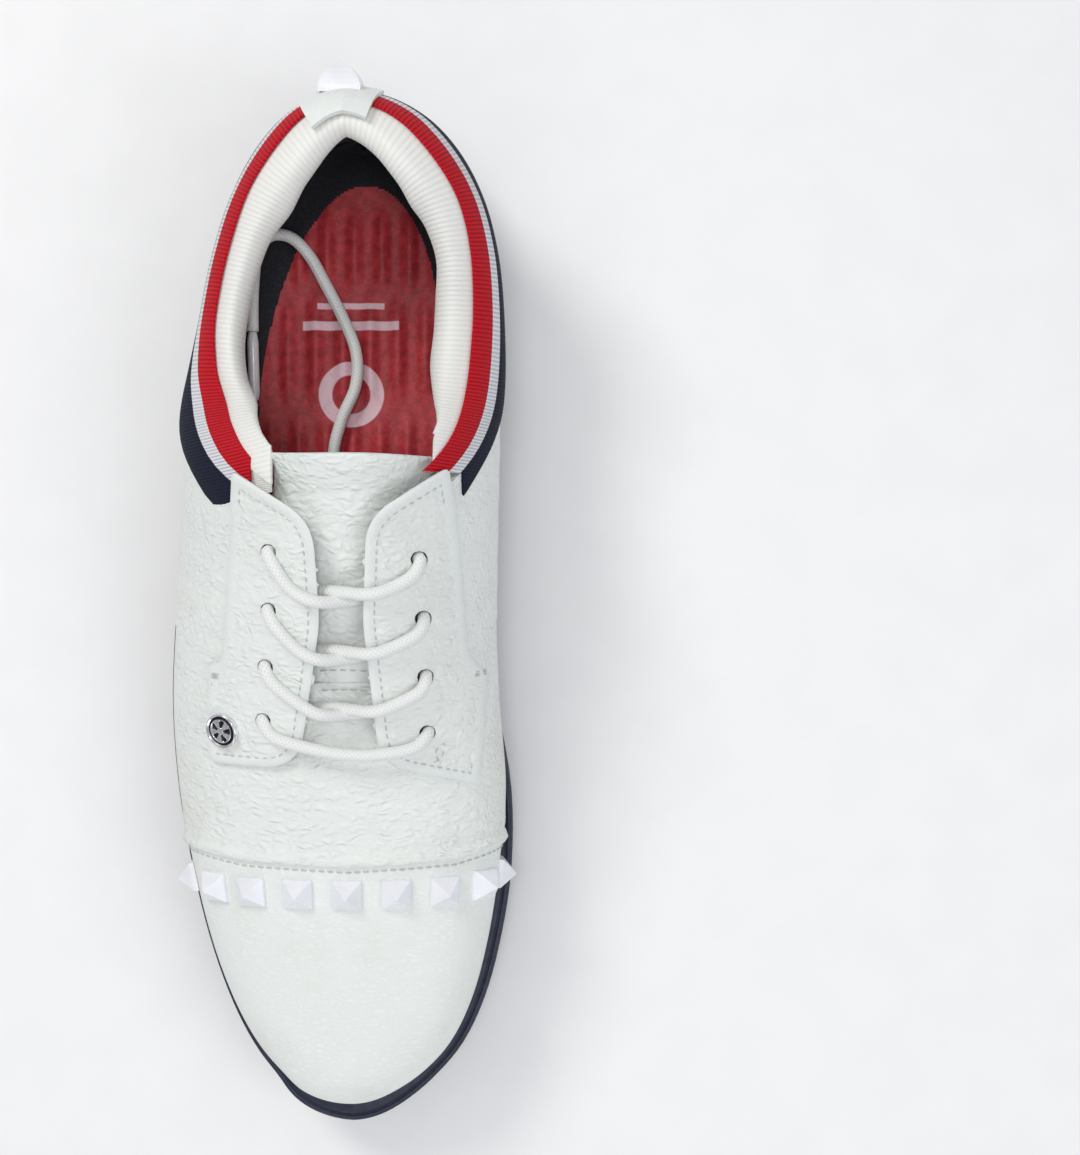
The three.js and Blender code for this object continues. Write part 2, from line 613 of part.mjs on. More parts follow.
// ---------------------------------------------------------------- heel tab and studs
const TAB_DROP = 27;
const tabFace = 2 * CLEARANCE + OVERLAY; // above the ribbon
const tabProfile = (depth) => {
  const points = [[0, TAB_DROP], ...scaled(depth).slice(0, ROLL_TOP + 2)];
  return [...rollProfile(points, tabFace + OVERLAY), ...rollProfile(points, tabFace).reverse()];
};
// The section where the tab is half its width from its middle, on the facets between two rows.
function tabEdge(side) {
  const outer = rollSection(1 - 2 / ROWS, side, tabProfile);
  const inner = rollSection(1 - 1 / ROWS, side, tabProfile);
  const wanted = BACK_SEAM_X * gradeX + (side * HEEL_TAB_WIDTH) / 2;
  const share = (wanted - inner[0].x) / (outer[0].x - inner[0].x);
  return inner.map((p, i) => p.clone().lerp(outer[i], share));
}
const tabSections = [
  tabEdge(-1),
  rollSection(1 - 1 / ROWS, -1, tabProfile),
  rollSection(1, 1, tabProfile),
  rollSection(1 - 1 / ROWS, 1, tabProfile),
  tabEdge(1),
];
add("heel_tab", sweep(tabSections, false), WHITE_LEATHER, 0.45);

// A blunt square pyramid standing on a point, with one pair of sides along a direction.
function stud(point, normal, down, width, height) {
  const round = Math.SQRT1_2; // corner radius of a unit square
  const geometry = new THREE.CylinderGeometry(0.09 * width, round * width, height, 4);
  geometry.rotateY(Math.PI / 4).translate(0, height / 2, 0);
  const across = down.clone().cross(normal).normalize();
  const basis = new THREE.Matrix4().makeBasis(normal.clone().cross(across).normalize(), normal, across);
  return geometrySolid(geometry.applyMatrix4(basis).translate(point.x, point.y, point.z));
}
const STUD_COUNT = 9;
const STUD_MIDDLE = [-0.2, -71.8]; // plan place of the middle stud
// Studs keep their pitch along the row, measured over the leather from the middle one.
function studPlace(index) {
  const wanted = (index - (STUD_COUNT - 1) / 2) * STUD_PITCH;
  const side = Math.sign(wanted);
  const yOf = (b) => STUD_MIDDLE[1] + 3.4 * b * b;
  const at = (b, offset) => onLast(stationAt(yOf(b)), b, offset);
  let b = acrossAt(stationAt(STUD_MIDDLE[1]), STUD_MIDDLE[0]);
  let travelled = 0;
  while (travelled < Math.abs(wanted)) {
    travelled += at(b, 0).distanceTo(at(b + side * 0.002, 0));
    b += side * 0.002;
  }
  return { point: at(b, CLEARANCE), normal: lastNormal(stationAt(yOf(b)), b) };
}
for (let i = 0; i < STUD_COUNT; i += 1) {
  const { point, normal } = studPlace(i);
  const made = stud(point, normal, new THREE.Vector3(0, 1, 0), STUD_WIDTH, STUD_HEIGHT);
  add(`toe_stud_${i + 1}`, made, WHITE_RUBBER, 0.45);
}
const tabBack = rollSection(1, 1, tabProfile);
const studFoot = tabBack[2].clone().lerp(tabBack[3], 0.5).setX(0.8 * gradeX);
const tabRise = tabBack[3].clone().sub(tabBack[2]).normalize();
const tabNormal = tabRise.clone().cross(new THREE.Vector3(1, 0, 0)).normalize();
if (tabNormal.y < 0) tabNormal.negate();
const heelStudPoint = studFoot.addScaledVector(tabNormal, CLEARANCE);
const heelStud = stud(heelStudPoint, tabNormal, new THREE.Vector3(0, 0, 1), HEEL_STUD_WIDTH, HEEL_STUD_HEIGHT);
add("heel_stud", heelStud, WHITE_RUBBER, 0.45);

// ---------------------------------------------------------------- rivet
function turned(profile, point, normal) {
  const geometry = new THREE.LatheGeometry(profile.map(([r, h]) => new THREE.Vector2(r, h)), 14);
  const turn = new THREE.Quaternion().setFromUnitVectors(new THREE.Vector3(0, 1, 0), normal);
  return geometrySolid(geometry.applyQuaternion(turn).translate(point.x, point.y, point.z));
}
const rivetRadius = RIVET_DIAMETER / 2;
const postRadius = RIVET_POST_DIAMETER / 2;
const capFoot = overlayFace + CLEARANCE;
const rivetCap = [
  [0, capFoot], [rivetRadius, capFoot], [rivetRadius, capFoot + 0.5 * RIVET_HEIGHT],
  [0.9 * rivetRadius, capFoot + 0.85 * RIVET_HEIGHT], [0.75 * rivetRadius, capFoot + RIVET_HEIGHT],
  [0, capFoot + RIVET_HEIGHT],
];
const washerTop = -LEATHER - CLEARANCE;
const WASHER_THICKNESS = 0.8;
const rivetPost = [
  [0, washerTop - WASHER_THICKNESS], [0.75 * rivetRadius, washerTop - WASHER_THICKNESS],
  [0.75 * rivetRadius, washerTop], [postRadius, washerTop], [postRadius, overlayFace], [0, overlayFace],
];
add("rivet_cap", turned(rivetCap, rivetPoint, rivetNormal), STEEL, 0.25, 1);
add("rivet_post", turned(rivetPost, rivetPoint, rivetNormal), STEEL, 0.4, 1);

// ---------------------------------------------------------------- tongue
const TONGUE_FRONT = -27; // sewn to the tab from below
const TONGUE_BACK = 41;
const TONGUE_MIDDLE = 2.2;
const TONGUE_HALF_WIDTH = 18.6;
const tabUnderside = TAB_DEPTH - LEATHER - CLEARANCE;
const tongueTop = (y) => ramp(y, TAB_BACK + 1.5, TAB_BACK + 9, tabUnderside, TAB_DEPTH);
function tongueEdges(y) {
  const corner = ramp(y, TONGUE_BACK - 5, TONGUE_BACK, 0, 1);
  const half = TONGUE_HALF_WIDTH + ramp(y, 27, 35, 0, 3) - 4 * corner * corner - ramp(y, 5, TONGUE_FRONT, 0, 5);
  return [TONGUE_MIDDLE - half, TONGUE_MIDDLE + half];
}
function tongueLayer(depth, thickness) {
  return patch(TONGUE_FRONT, TONGUE_BACK, 10, 6, tongueEdges, (y) => tongueTop(y) - depth, thickness);
}
add("tongue_cover", tongueLayer(0, TONGUE_COVER), WHITE_LEATHER, 0.55);
add("tongue_foam", tongueLayer(TONGUE_COVER + CLEARANCE, TONGUE_FOAM), FOAM, 0.9);
const tongueLiningDepth = TONGUE_COVER + TONGUE_FOAM + 2 * CLEARANCE;
add("tongue_lining", tongueLayer(tongueLiningDepth, LINING), DARK_LINING, 0.9);

// ---------------------------------------------------------------- sole unit
const SOLE_ROWS = 22;
const FLAT_FRONT = -60; // the sole lies flat behind this and springs up ahead of it
const spring = (y) => TOE_SPRING * Math.max(0, (FLAT_FRONT - y) / (HALF + FLAT_FRONT)) ** 2;
const soleMargin = (a) => SOLE_MARGIN + SOLE_MARGIN_TOE * (1 - THREE.MathUtils.smoothstep(a, 0, 0.26));

// A plan point of the outline at a distance outside the upper's widest line.
function outlinePoint(a, side, distance) {
  const foot = lastPoint(a, side);
  const step = 0.004;
  const ahead = lastPoint(Math.min(1 - step, a + step), side);
  const normal = ahead.sub(lastPoint(Math.max(step, a - step), side)).setZ(0).normalize();
  if (a <= 0) normal.set(0, -1, 0);
  else if (a >= 1) normal.set(0, 1, 0);
  else normal.set(side * normal.y, -side * normal.x, 0);
  return foot.addScaledVector(normal, FEATHER_INSET + distance);
}

// A slab across the shoe inside an outline, between two heights given as functions of y.
function slab(distance, low, high, columnCount) {
  const grid = (height) =>
    steps(SOLE_ROWS).map((a) => {
      const lateral = outlinePoint(a, -1, distance(a));
      const medial = outlinePoint(a, 1, distance(a));
      return steps(columnCount).map((t) => {
        const p = lateral.clone().lerp(medial, t);
        return p.setZ(height(yAt(a), 2 * t - 1));
      });
    });
  const bottom = grid(low);
  const top = grid(high);
  const soup = [];
  for (let i = 0; i < SOLE_ROWS; i += 1) {
    for (let j = 0; j < columnCount; j += 1) {
      quad(soup, top[i][j], top[i][j + 1], top[i + 1][j + 1], top[i + 1][j]);
      quad(soup, bottom[i][j], bottom[i + 1][j], bottom[i + 1][j + 1], bottom[i][j + 1]);
    }
    quad(soup, top[i][0], top[i + 1][0], bottom[i + 1][0], bottom[i][0]);
    const k = columnCount;
    quad(soup, top[i][k], bottom[i][k], bottom[i + 1][k], top[i + 1][k]);
  }
  return solidOf(soup);
}
const featherAt = (y) => featherHeight(stationAt(y));
const outsoleTop = (y) => spring(y) + LUG_HEIGHT + OUTSOLE_BASE;
const midsoleTop = (y) => featherAt(y) - CLEARANCE;
const boardTop = (y) => featherAt(y) + BOARD;
const foamTop = (y) => boardTop(y) + CLEARANCE + FOOTBED_FOAM;
const insideLining = -(FEATHER_INSET + LINING - liningFace + 2 * CLEARANCE);
const inside = (a) => insideLining - 2.4 * (1 - THREE.MathUtils.smoothstep(a, 0, 0.15));

// Traction lugs stand in a square grid under the forefoot and the heel.
const LUG_ZONES = [[-112, -18], [62, 118]];
function lugPlaces() {
  const places = [];
  LUG_ZONES.forEach(([front, back]) => {
    for (let y = front; y <= back; y += LUG_PITCH) {
      const a = stationAt(y);
      const room = LUG_WIDTH * 0.75;
      const low = outlinePoint(a, -1, soleMargin(a)).x + room;
      const high = outlinePoint(a, 1, soleMargin(a)).x - room;
      const count = Math.floor((high - low) / LUG_PITCH);
      const start = (low + high - count * LUG_PITCH) / 2;
      for (let i = 0; i <= count; i += 1) places.push([start + i * LUG_PITCH, y]);
    }
  });
  return places;
}
function lug([x, y]) {
  const height = LUG_HEIGHT + 1; // its root is inside the outsole
  const geometry = new THREE.CylinderGeometry(0.7 * LUG_WIDTH, 0.5 * LUG_WIDTH, height, 4);
  geometry.rotateX(Math.PI / 2).translate(x, y * gradeY, spring(y) + height / 2);
  return geometrySolid(geometry);
}
const outsoleBase = slab(soleMargin, (y) => spring(y) + LUG_HEIGHT, outsoleTop, 4);
const outsole = lugPlaces().reduce((made, place) => made.add(lug(place)), outsoleBase);
add("outsole", outsole, NAVY_RUBBER, 0.7);

const SHANK_MIDDLE = 20; // y of the shank's middle, under the arch
function block(length, width, low, high) {
  const geometry = new THREE.BoxGeometry(width, length, high - low);
  return geometrySolid(geometry.translate(0, SHANK_MIDDLE * gradeY, (low + high) / 2));
}
const shankTop = midsoleTop(SHANK_MIDDLE - SHANK_LENGTH / 2) - CLEARANCE;
const shankBottom = shankTop - SHANK_THICKNESS;
const slot = block(SHANK_LENGTH + 2 * CLEARANCE, SHANK_WIDTH + 2 * CLEARANCE, shankBottom - CLEARANCE, SKY);
const midsole = slab(soleMargin, (y) => outsoleTop(y) + CLEARANCE, midsoleTop, 4);
add("midsole", midsole.subtract(slot), NAVY_RUBBER, 0.6);
add("shank", block(SHANK_LENGTH, SHANK_WIDTH, shankBottom, shankTop), STEEL, 0.4, 1);
add("insole_board", slab(inside, featherAt, boardTop, 2), BOARD_TAN, 0.9);

const CUP = 4; // how far the footbed's edge turns up
function cupped(height) {
  return (y, t) => {
    const side = Math.max(0, (Math.abs(t) - 0.5) / 0.5);
    const end = Math.max(0, (Math.abs(2 * stationAt(y) - 1) - 0.86) / 0.14);
    return height(y) + CUP * Math.min(1, side * side + end * end);
  };
}
add("footbed_foam", slab(inside, (y) => boardTop(y) + CLEARANCE, cupped(foamTop), 6), FOAM, 0.9);
const coverLow = cupped((y) => foamTop(y) + CLEARANCE);
const coverHigh = cupped((y) => foamTop(y) + CLEARANCE + FOOTBED_COVER);
add("footbed_cover", slab(inside, coverLow, coverHigh, 6), FOOTBED_RED, 0.7);

function weltSection(a, side) {
  const low = featherAt(yAt(a));
  const outer = outlinePoint(a, side, soleMargin(a));
  const inner = outlinePoint(a, side, CLEARANCE - 0.6 * FEATHER_INSET + 0.6);
  return [
    inner.clone().setZ(low), outer.clone().setZ(low),
    outer.clone().setZ(low + WELT_HEIGHT), inner.clone().setZ(low + WELT_HEIGHT),
  ];
}
const weltLateral = steps(SOLE_ROWS).map((a) => weltSection(a, -1));
const weltMedial = steps(SOLE_ROWS).slice(1, -1).map((a) => weltSection(a, 1));
add("welt", sweep([...weltLateral, ...weltMedial.reverse()], true), NAVY_RUBBER, 0.6);

// ---------------------------------------------------------------- lace tails
// Behind the top eyelets both ends run loose inside the shoe, down beside the tongue and along the
// footbed: the lateral one back to the heel, round, and forward along the wall; the medial one
// forward under the vamp. Their points stay as chosen, whatever the shoe's size.
const TAIL_LATERAL = [
  [-19.9, 21.5, 69.4], [-21, 22.3, 65.5], [-21.3, 22.6, 60], [-20.6, 22.5, 53], [-18.6, 21.6, 45.5],
  [-15.2, 19.4, 38.5], [-10.4, 15.8, 32.4], [-4.4, 12.6, 29.4], [1.6, 12.6, 28.9], [5.6, 16.4, 29.2],
  [5.2, 22.2, 29.7], [1.4, 28.2, 30.3], [-2.6, 34.6, 30.9], [-5.6, 43, 31.8], [-3.4, 53, 32.5],
  [0.4, 62, 32.9], [0.6, 71, 33.3], [-2.8, 80, 33.6], [-7.4, 89, 33.9], [-11.8, 96.8, 34.4],
  [-16.6, 101.4, 36.4], [-21.8, 101.4, 38.4], [-25, 97, 39], [-26, 90.6, 38.8],
  [-26.5, 83.4, 37.8], [-26.6, 76.2, 37],
];
const TAIL_MEDIAL = [
  [23.4, 19.4, 64.6], [24.6, 20.4, 60.6], [24.9, 20.6, 55], [24.1, 19.4, 48], [22.4, 16.4, 41],
  [20.2, 11, 34.4], [18.4, 4, 29.8], [17, -4.4, 27.8], [14.8, -13.6, 26.6], [11.2, -22.8, 25.8],
  [5.6, -31.6, 25.2], [-2, -38.2, 24.8], [-10.4, -40.4, 24.8], [-17, -38.4, 25.4],
  [-20.8, -33.4, 26.2], [-22, -27.4, 27],
];
const tailPoints = (list) => list.map((p) => new THREE.Vector3(...p));
add("lace_tail_lateral", tube(tailPoints(TAIL_LATERAL), laceRadius, 30), WHITE_TEXTILE, 0.7);
add("lace_tail_medial", tube(tailPoints(TAIL_MEDIAL), laceRadius, 20), WHITE_TEXTILE, 0.7);

// An aglet continues its tail in a straight line towards a point.
const AGLET_DIAMETER = 3;
function aglet(end, towards) {
  const direction = towards.clone().sub(end).normalize();
  const middle = end.clone().addScaledVector(direction, CLEARANCE + AGLET_LENGTH / 2);
  return rod(middle, direction, AGLET_DIAMETER / 2, AGLET_LENGTH, 10);
}
const lateralEnd = tailPoints(TAIL_LATERAL).at(-1);
const medialEnd = tailPoints(TAIL_MEDIAL).at(-1);
const lateralAim = new THREE.Vector3(-26.2, 57, 36);
const medialAim = new THREE.Vector3(-23.6, -12, 28.6);
add("aglet_lateral", aglet(lateralEnd, lateralAim), WHITE_TEXTILE, 0.3);
add("aglet_medial", aglet(medialEnd, medialAim), WHITE_TEXTILE, 0.3);

// ---------------------------------------------------------------- origin
// The origin is the middle of the shoe's footprint, on the ground.
const footprint = new THREE.Box3().setFromObject(shoe);
const centre = footprint.getCenter(new THREE.Vector3());
shoe.position.set(-centre.x, -centre.y, -footprint.min.z);

export default shoe;
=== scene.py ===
# %% [markdown]
# # A low lace-up golf shoe
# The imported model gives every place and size. This lesson dresses it: leather panels, ribbon, lace,
# studs, lining and sole are modelled as meshes around it, and every finish is a node material.
# Lengths in the text and in the pattern are millimetres; Blender's are metres.

# %% Load the frame
import math

import bmesh
import bpy
import numpy as np
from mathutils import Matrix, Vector, geometry


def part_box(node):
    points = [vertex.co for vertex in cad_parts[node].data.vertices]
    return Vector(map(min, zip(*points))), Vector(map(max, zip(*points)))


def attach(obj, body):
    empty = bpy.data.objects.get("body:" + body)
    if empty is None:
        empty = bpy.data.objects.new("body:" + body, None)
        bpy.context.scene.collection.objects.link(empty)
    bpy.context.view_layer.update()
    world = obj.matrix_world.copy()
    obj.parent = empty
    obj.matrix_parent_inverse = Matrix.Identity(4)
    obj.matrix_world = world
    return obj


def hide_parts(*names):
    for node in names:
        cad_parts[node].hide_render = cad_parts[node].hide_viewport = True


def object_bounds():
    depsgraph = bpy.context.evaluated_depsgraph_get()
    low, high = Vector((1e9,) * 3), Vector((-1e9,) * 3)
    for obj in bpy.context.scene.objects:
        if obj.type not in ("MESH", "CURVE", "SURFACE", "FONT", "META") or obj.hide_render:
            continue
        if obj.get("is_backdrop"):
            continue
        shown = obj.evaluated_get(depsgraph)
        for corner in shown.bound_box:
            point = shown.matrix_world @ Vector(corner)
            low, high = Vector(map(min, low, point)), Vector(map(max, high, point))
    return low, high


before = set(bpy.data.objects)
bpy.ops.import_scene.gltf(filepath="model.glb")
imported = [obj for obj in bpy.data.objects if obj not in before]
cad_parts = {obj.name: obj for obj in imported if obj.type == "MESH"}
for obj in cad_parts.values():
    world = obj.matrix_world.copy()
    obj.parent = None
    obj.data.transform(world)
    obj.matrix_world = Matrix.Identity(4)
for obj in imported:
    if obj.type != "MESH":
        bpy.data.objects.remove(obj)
cad_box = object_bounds()
print("frame nodes:", len(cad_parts))

# %% [markdown]
# The pattern's own origin lies on the shoe's long middle line. The steel shank is a plain bar whose
# middle is known in the pattern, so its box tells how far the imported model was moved.

# %% Where the pattern lies in the frame
MM = 0.001
SHANK_MIDDLE = (0.0, 20.0)
low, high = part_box("shank")
shank_x, shank_y = (low.x + high.x) / 2 / MM, (low.y + high.y) / 2 / MM
SHIFT = np.array([shank_x - SHANK_MIDDLE[0], shank_y - SHANK_MIDDLE[1], 0.0])
print("pattern shift, mm:", SHIFT.round(3))


def metres(points):
    """Pattern millimetres to frame metres."""
    return (np.asarray(points, float) + SHIFT) * MM


# %% [markdown]
# ## The view, the light and the floor
# The shoe is seen from straight above, a little to its inner side. The view could be set by eye, but
# a lens worked out from the eye's height and the field it covers gives the same picture each time.

# %% Camera
scene = bpy.context.scene
scene.view_settings.view_transform = "Standard"  # keeps white leather white and red red
EYE = (50.0, 10.6, 520.0)
FIELD_HEIGHT = 331.5
camera_data = bpy.data.cameras.new("camera")
camera_data.sensor_width = 36.0
camera_data.sensor_fit = "VERTICAL"
camera_data.sensor_height = 36.0
camera_data.lens = camera_data.sensor_height * EYE[2] / FIELD_HEIGHT
camera_data.clip_start = 0.01
camera = bpy.data.objects.new("camera", camera_data)
camera.location = Vector(metres(EYE))
scene.collection.objects.link(camera)
scene.camera = camera
print("lens, mm:", round(camera_data.lens, 2))

# %% [markdown]
# A product table is lit evenly, so four soft panels surround the shoe: a key and a fill on either
# side, a low one at the toe, and one overhead that reaches into the shoe. Area lights suit this
# better than a sun, because their size alone decides how soft the shadow is.

# %% Lights and world
world = bpy.data.worlds.new("studio")
world.use_nodes = True
world.node_tree.nodes["Background"].inputs["Color"].default_value = (0.93, 0.95, 1.0, 1.0)
world.node_tree.nodes["Background"].inputs["Strength"].default_value = 0.42
scene.world = world


def area_light(name, place, aim, size, power, colour=(1.0, 1.0, 1.0)):
    data = bpy.data.lights.new(name, "AREA")
    data.shape = "DISK"
    data.size = size
    data.energy = power
    data.color = colour
    light = bpy.data.objects.new(name, data)
    light.location = place
    light.rotation_euler = (Vector(aim) - Vector(place)).to_track_quat("-Z", "Y").to_euler()
    scene.collection.objects.link(light)
    return light


area_light("key", (-0.45, 0.55, 0.75), (0, 0, 0.03), 0.35, 3.8, (1.0, 0.98, 0.95))
area_light("fill", (0.6, -0.35, 0.8), (0, 0, 0.03), 0.7, 2.4, (0.95, 0.97, 1.0))
area_light("front", (-0.2, -0.9, 0.5), (0, 0, 0.04), 0.5, 1.5)
area_light("top", (0.03, 0.05, 1.1), (0, 0.04, 0.03), 0.3, 2.4)
print("lights:", len(bpy.data.lights))

# %% [markdown]
# ## The surface of the last
# A shoemaker pulls the leather over a last, so every panel lies on one smooth surface. The same
# surface is worked out here: a runs from the toe (0) to the heel (1), b from the outer feather edge
# (-1) over the top to the inner one (1). Each panel can then be drawn flat and laid on it.

# %% Curves along the shoe
HALF = 131.6  # half the upper's length


def station(y):
    return np.arccos(np.clip(-np.asarray(y, float) / HALF, -1, 1)) / np.pi


def along(points):
    """A smooth curve through (y, value) points, as a function of the station a."""
    at = station([p[0] for p in points])
    value = np.array([p[1] for p in points], float)
    slope = np.diff(value) / np.diff(at)
    tangent = np.concatenate([[slope[0]], np.zeros(len(at) - 2), [slope[-1]]])
    for i in range(1, len(at) - 1):
        before = at[i] - at[i - 1]
        after = at[i + 1] - at[i]
        tangent[i] = (slope[i - 1] * after + slope[i] * before) / (before + after)

    def curve(a):
        here = np.clip(a, at[0], at[-1])
        i = np.clip(np.searchsorted(at, here) - 1, 0, len(at) - 2)
        h = at[i + 1] - at[i]
        t = (here - at[i]) / h
        s = 1 - t
        ends = value[i] * s * s * (1 + 2 * t) + value[i + 1] * t * t * (3 - 2 * t)
        return ends + h * s * t * (tangent[i] * s - tangent[i + 1] * t)

    return curve


outer_width = along([(-HALF, 0), (-127.5, 14), (-123, 18.6), (-115.5, 25), (-104, 31.6), (-88, 37.8),
                     (-68, 42.8), (-46, 46.4), (-22, 47.6), (0, 46.2), (25, 43.6), (50, 42), (75, 38.8),
                     (95, 34.4), (112, 27.6), (124, 17.6), (HALF, 0)])
inner_width = along([(-HALF, 0), (-127.5, 12.6), (-123, 19), (-115.5, 26), (-104, 31.8), (-88, 36.2),
                     (-68, 39.4), (-46, 41.2), (-22, 39.6), (0, 38.8), (25, 39), (50, 39.2), (75, 38.4),
                     (95, 36.2), (112, 30.8), (124, 20.6), (HALF, 0)])
feather_height = along([(-HALF, 22.5), (-110, 18), (-85, 15.5), (-55, 15), (-25, 16.5), (10, 20), (50, 23.5),
                        (90, 25), (HALF, 25.5)])
widest_height = along([(-HALF, 30), (-110, 29), (-85, 28.5), (-55, 29), (-25, 31), (10, 35), (50, 38),
                       (HALF, 39)])
ridge_height = along([(-HALF, 30), (-129, 34.5), (-124, 38.2), (-115, 41.8), (-104, 44.3), (-88, 46.5),
                      (-68, 49.5), (-46, 54.8), (-22, 64), (0, 74), (20, 83), (38, 92), (60, 102), (90, 110),
                      (HALF, 112)])
ridge_shift = along([(-HALF, 0), (-90, 1.5), (-40, 2), (0, 2), (38, 4.5), (70, 3), (HALF, 2)])
squareness = along([(-HALF, 2.2), (-90, 2.35), (-60, 2.2), (-20, 1.95), (10, 1.8), (40, 1.9), (70, 2.2),
                    (HALF, 2.4)])
centre_shift = along([(-HALF, -0.9), (-100, -0.5), (60, 0), (100, 1.5), (HALF, 2.5)])

# %% [markdown]
# Across the shoe the surface is a rounded arch with a wall below it. One formula gives any point of
# it, its outward direction and the way back from a plan place or a height, which is all that a
# pattern needs.

# %% Points of the surface
WALL = 0.8  # |b| where the rounded top ends and the side wall begins
FEATHER_INSET = 2.5
HEEL_FULLEST = 38.0


def smooth(t):
    t = np.clip(t, 0, 1)
    return t * t * (3 - 2 * t)


def last(a, b):
    a, b = np.broadcast_arrays(np.asarray(a, float), np.asarray(b, float))
    y = -HALF * np.cos(np.pi * a)
    outer, inner = outer_width(a), inner_width(a)
    fade = np.clip(np.minimum(outer, inner) / 20, 0, 1)
    ridge = ridge_shift(a) * fade
    side = np.where(b < 0, -1.0, 1.0)
    wide = np.where(b < 0, outer + ridge, inner - ridge)
    angle = np.clip(np.abs(b) / WALL, 0, 1) * (np.pi / 2)
    power = 2 / squareness(a)
    down = np.clip((np.abs(b) - WALL) / (1 - WALL), 0, 1)
    foot = widest_height(a)
    arch = np.clip(np.cos(angle), 0, 1) ** power
    z = foot + (ridge_height(a) - foot) * arch - (foot - feather_height(a)) * down
    x = ridge + side * (wide * np.sin(angle) ** power - FEATHER_INSET * fade * down**2) + centre_shift(a)
    above = np.clip((z - HEEL_FULLEST) / 50, 0, None)
    below = np.clip((HEEL_FULLEST - z) / 14, 0, None)
    y = y - smooth((y - 40) / 85) * (7.5 * above**2 + 1.4 * below**2)
    return np.stack([x, y, z], -1)


def outward(a, b, step=0.004):
    """Unit normals of the surface."""
    a = np.clip(a, step, 1 - step)
    ahead = last(np.minimum(a + step, 1), b) - last(a - step, b)
    across = last(a, np.minimum(np.asarray(b) + step, 1)) - last(a, np.maximum(np.asarray(b) - step, -1))
    n = np.cross(across, ahead)
    return n / np.maximum(np.linalg.norm(n, axis=-1, keepdims=True), 1e-9)


def skin(a, b, offset=0.0):
    return last(a, b) + outward(a, b) * np.asarray(offset, float)[..., None]


def across_at(a, x):
    """b of the point at plan distance x."""
    ridge = ridge_shift(a)
    away = x - centre_shift(a) - ridge
    wide = np.where(away < 0, outer_width(a) + ridge, inner_width(a) - ridge)
    sine = np.clip(np.abs(away) / np.maximum(wide, 1e-6), 0, 1) ** (squareness(a) / 2)
    return np.sign(away) * WALL * np.arcsin(sine) / (np.pi / 2)


def across_at_height(a, z):
    """|b| of the point at height z."""
    foot = widest_height(a)
    share = np.clip((z - foot) / np.maximum(ridge_height(a) - foot, 1e-6), 0, 1)
    top = WALL * np.arccos(share ** (squareness(a) / 2)) / (np.pi / 2)
    return np.where(z < foot, WALL + (1 - WALL) * (foot - z) / (foot - feather_height(a)), top)


def on_plan(points, offset=0.0):
    """Plan points (x, y) laid on the surface, in pattern millimetres."""
    points = np.asarray(points, float)
    a = station(points[:, 1])
    return skin(a, across_at(a, points[:, 0]), offset)


widest = last(0.5, np.linspace(-1, 1, 41))
print("width at the waist, mm:", round(float(np.ptp(widest[:, 0])), 1))

# %% [markdown]
# ## Turning points into pieces
# Three small helpers make nearly every mesh: one turns vertices and faces into an object that rides
# on a body of the frame, one joins rows of points into a grid, and one sweeps a closed
# cross-section along rows. Solidify and Bevel then give a sheet its thickness and soft cut edge.

# %% Mesh helpers
def piece(name, verts, faces, material, body="shoe", uv=None, shade=True):
    """An object in the frame from pattern millimetres, riding on a body."""
    mesh = bpy.data.meshes.new(name)
    mesh.from_pydata([tuple(v) for v in metres(verts)], [], faces)
    mesh.update()
    if uv is not None:
        layer = mesh.uv_layers.new(name="along")
        for loop in mesh.loops:
            layer.data[loop.index].uv = uv[loop.vertex_index]
    if shade:
        mesh.shade_smooth()
    mesh.materials.append(material)
    obj = bpy.data.objects.new(name, mesh)
    scene.collection.objects.link(obj)
    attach(obj, body)
    return obj


def grid_faces(rows, columns, close_rows=False, close_columns=False):
    faces = []
    for i in range(rows if close_rows else rows - 1):
        for j in range(columns if close_columns else columns - 1):
            k = (i + 1) % rows
            m = (j + 1) % columns
            faces.append((i * columns + j, i * columns + m, k * columns + m, k * columns + j))
    return faces


def grid_piece(name, rows, material, close_rows=False, close_columns=False, caps=False, uv=None, **more):
    rows = np.asarray(rows, float)
    count, columns = rows.shape[:2]
    faces = grid_faces(count, columns, close_rows, close_columns)
    if caps:
        faces.append(tuple(range(columns - 1, -1, -1)))
        faces.append(tuple((count - 1) * columns + j for j in range(columns)))
    flat_uv = None if uv is None else np.asarray(uv, float).reshape(-1, 2)
    return piece(name, rows.reshape(-1, 3), faces, material, uv=flat_uv, **more)


def fix_normals(obj):
    bm = bmesh.new()
    bm.from_mesh(obj.data)
    bmesh.ops.remove_doubles(bm, verts=bm.verts, dist=1e-6)
    bmesh.ops.recalc_face_normals(bm, faces=bm.faces)
    bm.to_mesh(obj.data)
    bm.free()
    return obj


def thicken(obj, thickness, bevel=0.3, inwards=True):
    """Gives a sheet its thickness (mm) and a rounded cut edge."""
    solid = obj.modifiers.new("thickness", "SOLIDIFY")
    solid.thickness = thickness * MM
    solid.offset = -1.0 if inwards else 1.0
    solid.use_even_offset = False
    edge = obj.modifiers.new("edge", "BEVEL")
    edge.width = bevel * MM
    edge.segments = 3
    edge.limit_method = "ANGLE"
    edge.angle_limit = math.radians(55)
    edge.use_clamp_overlap = True
    return obj


# %% [markdown]
# Seams, laces and outlines are lines before they are meshes. These helpers space points evenly,
# draw a smooth curve through a few of them, and round the corners of an outline.

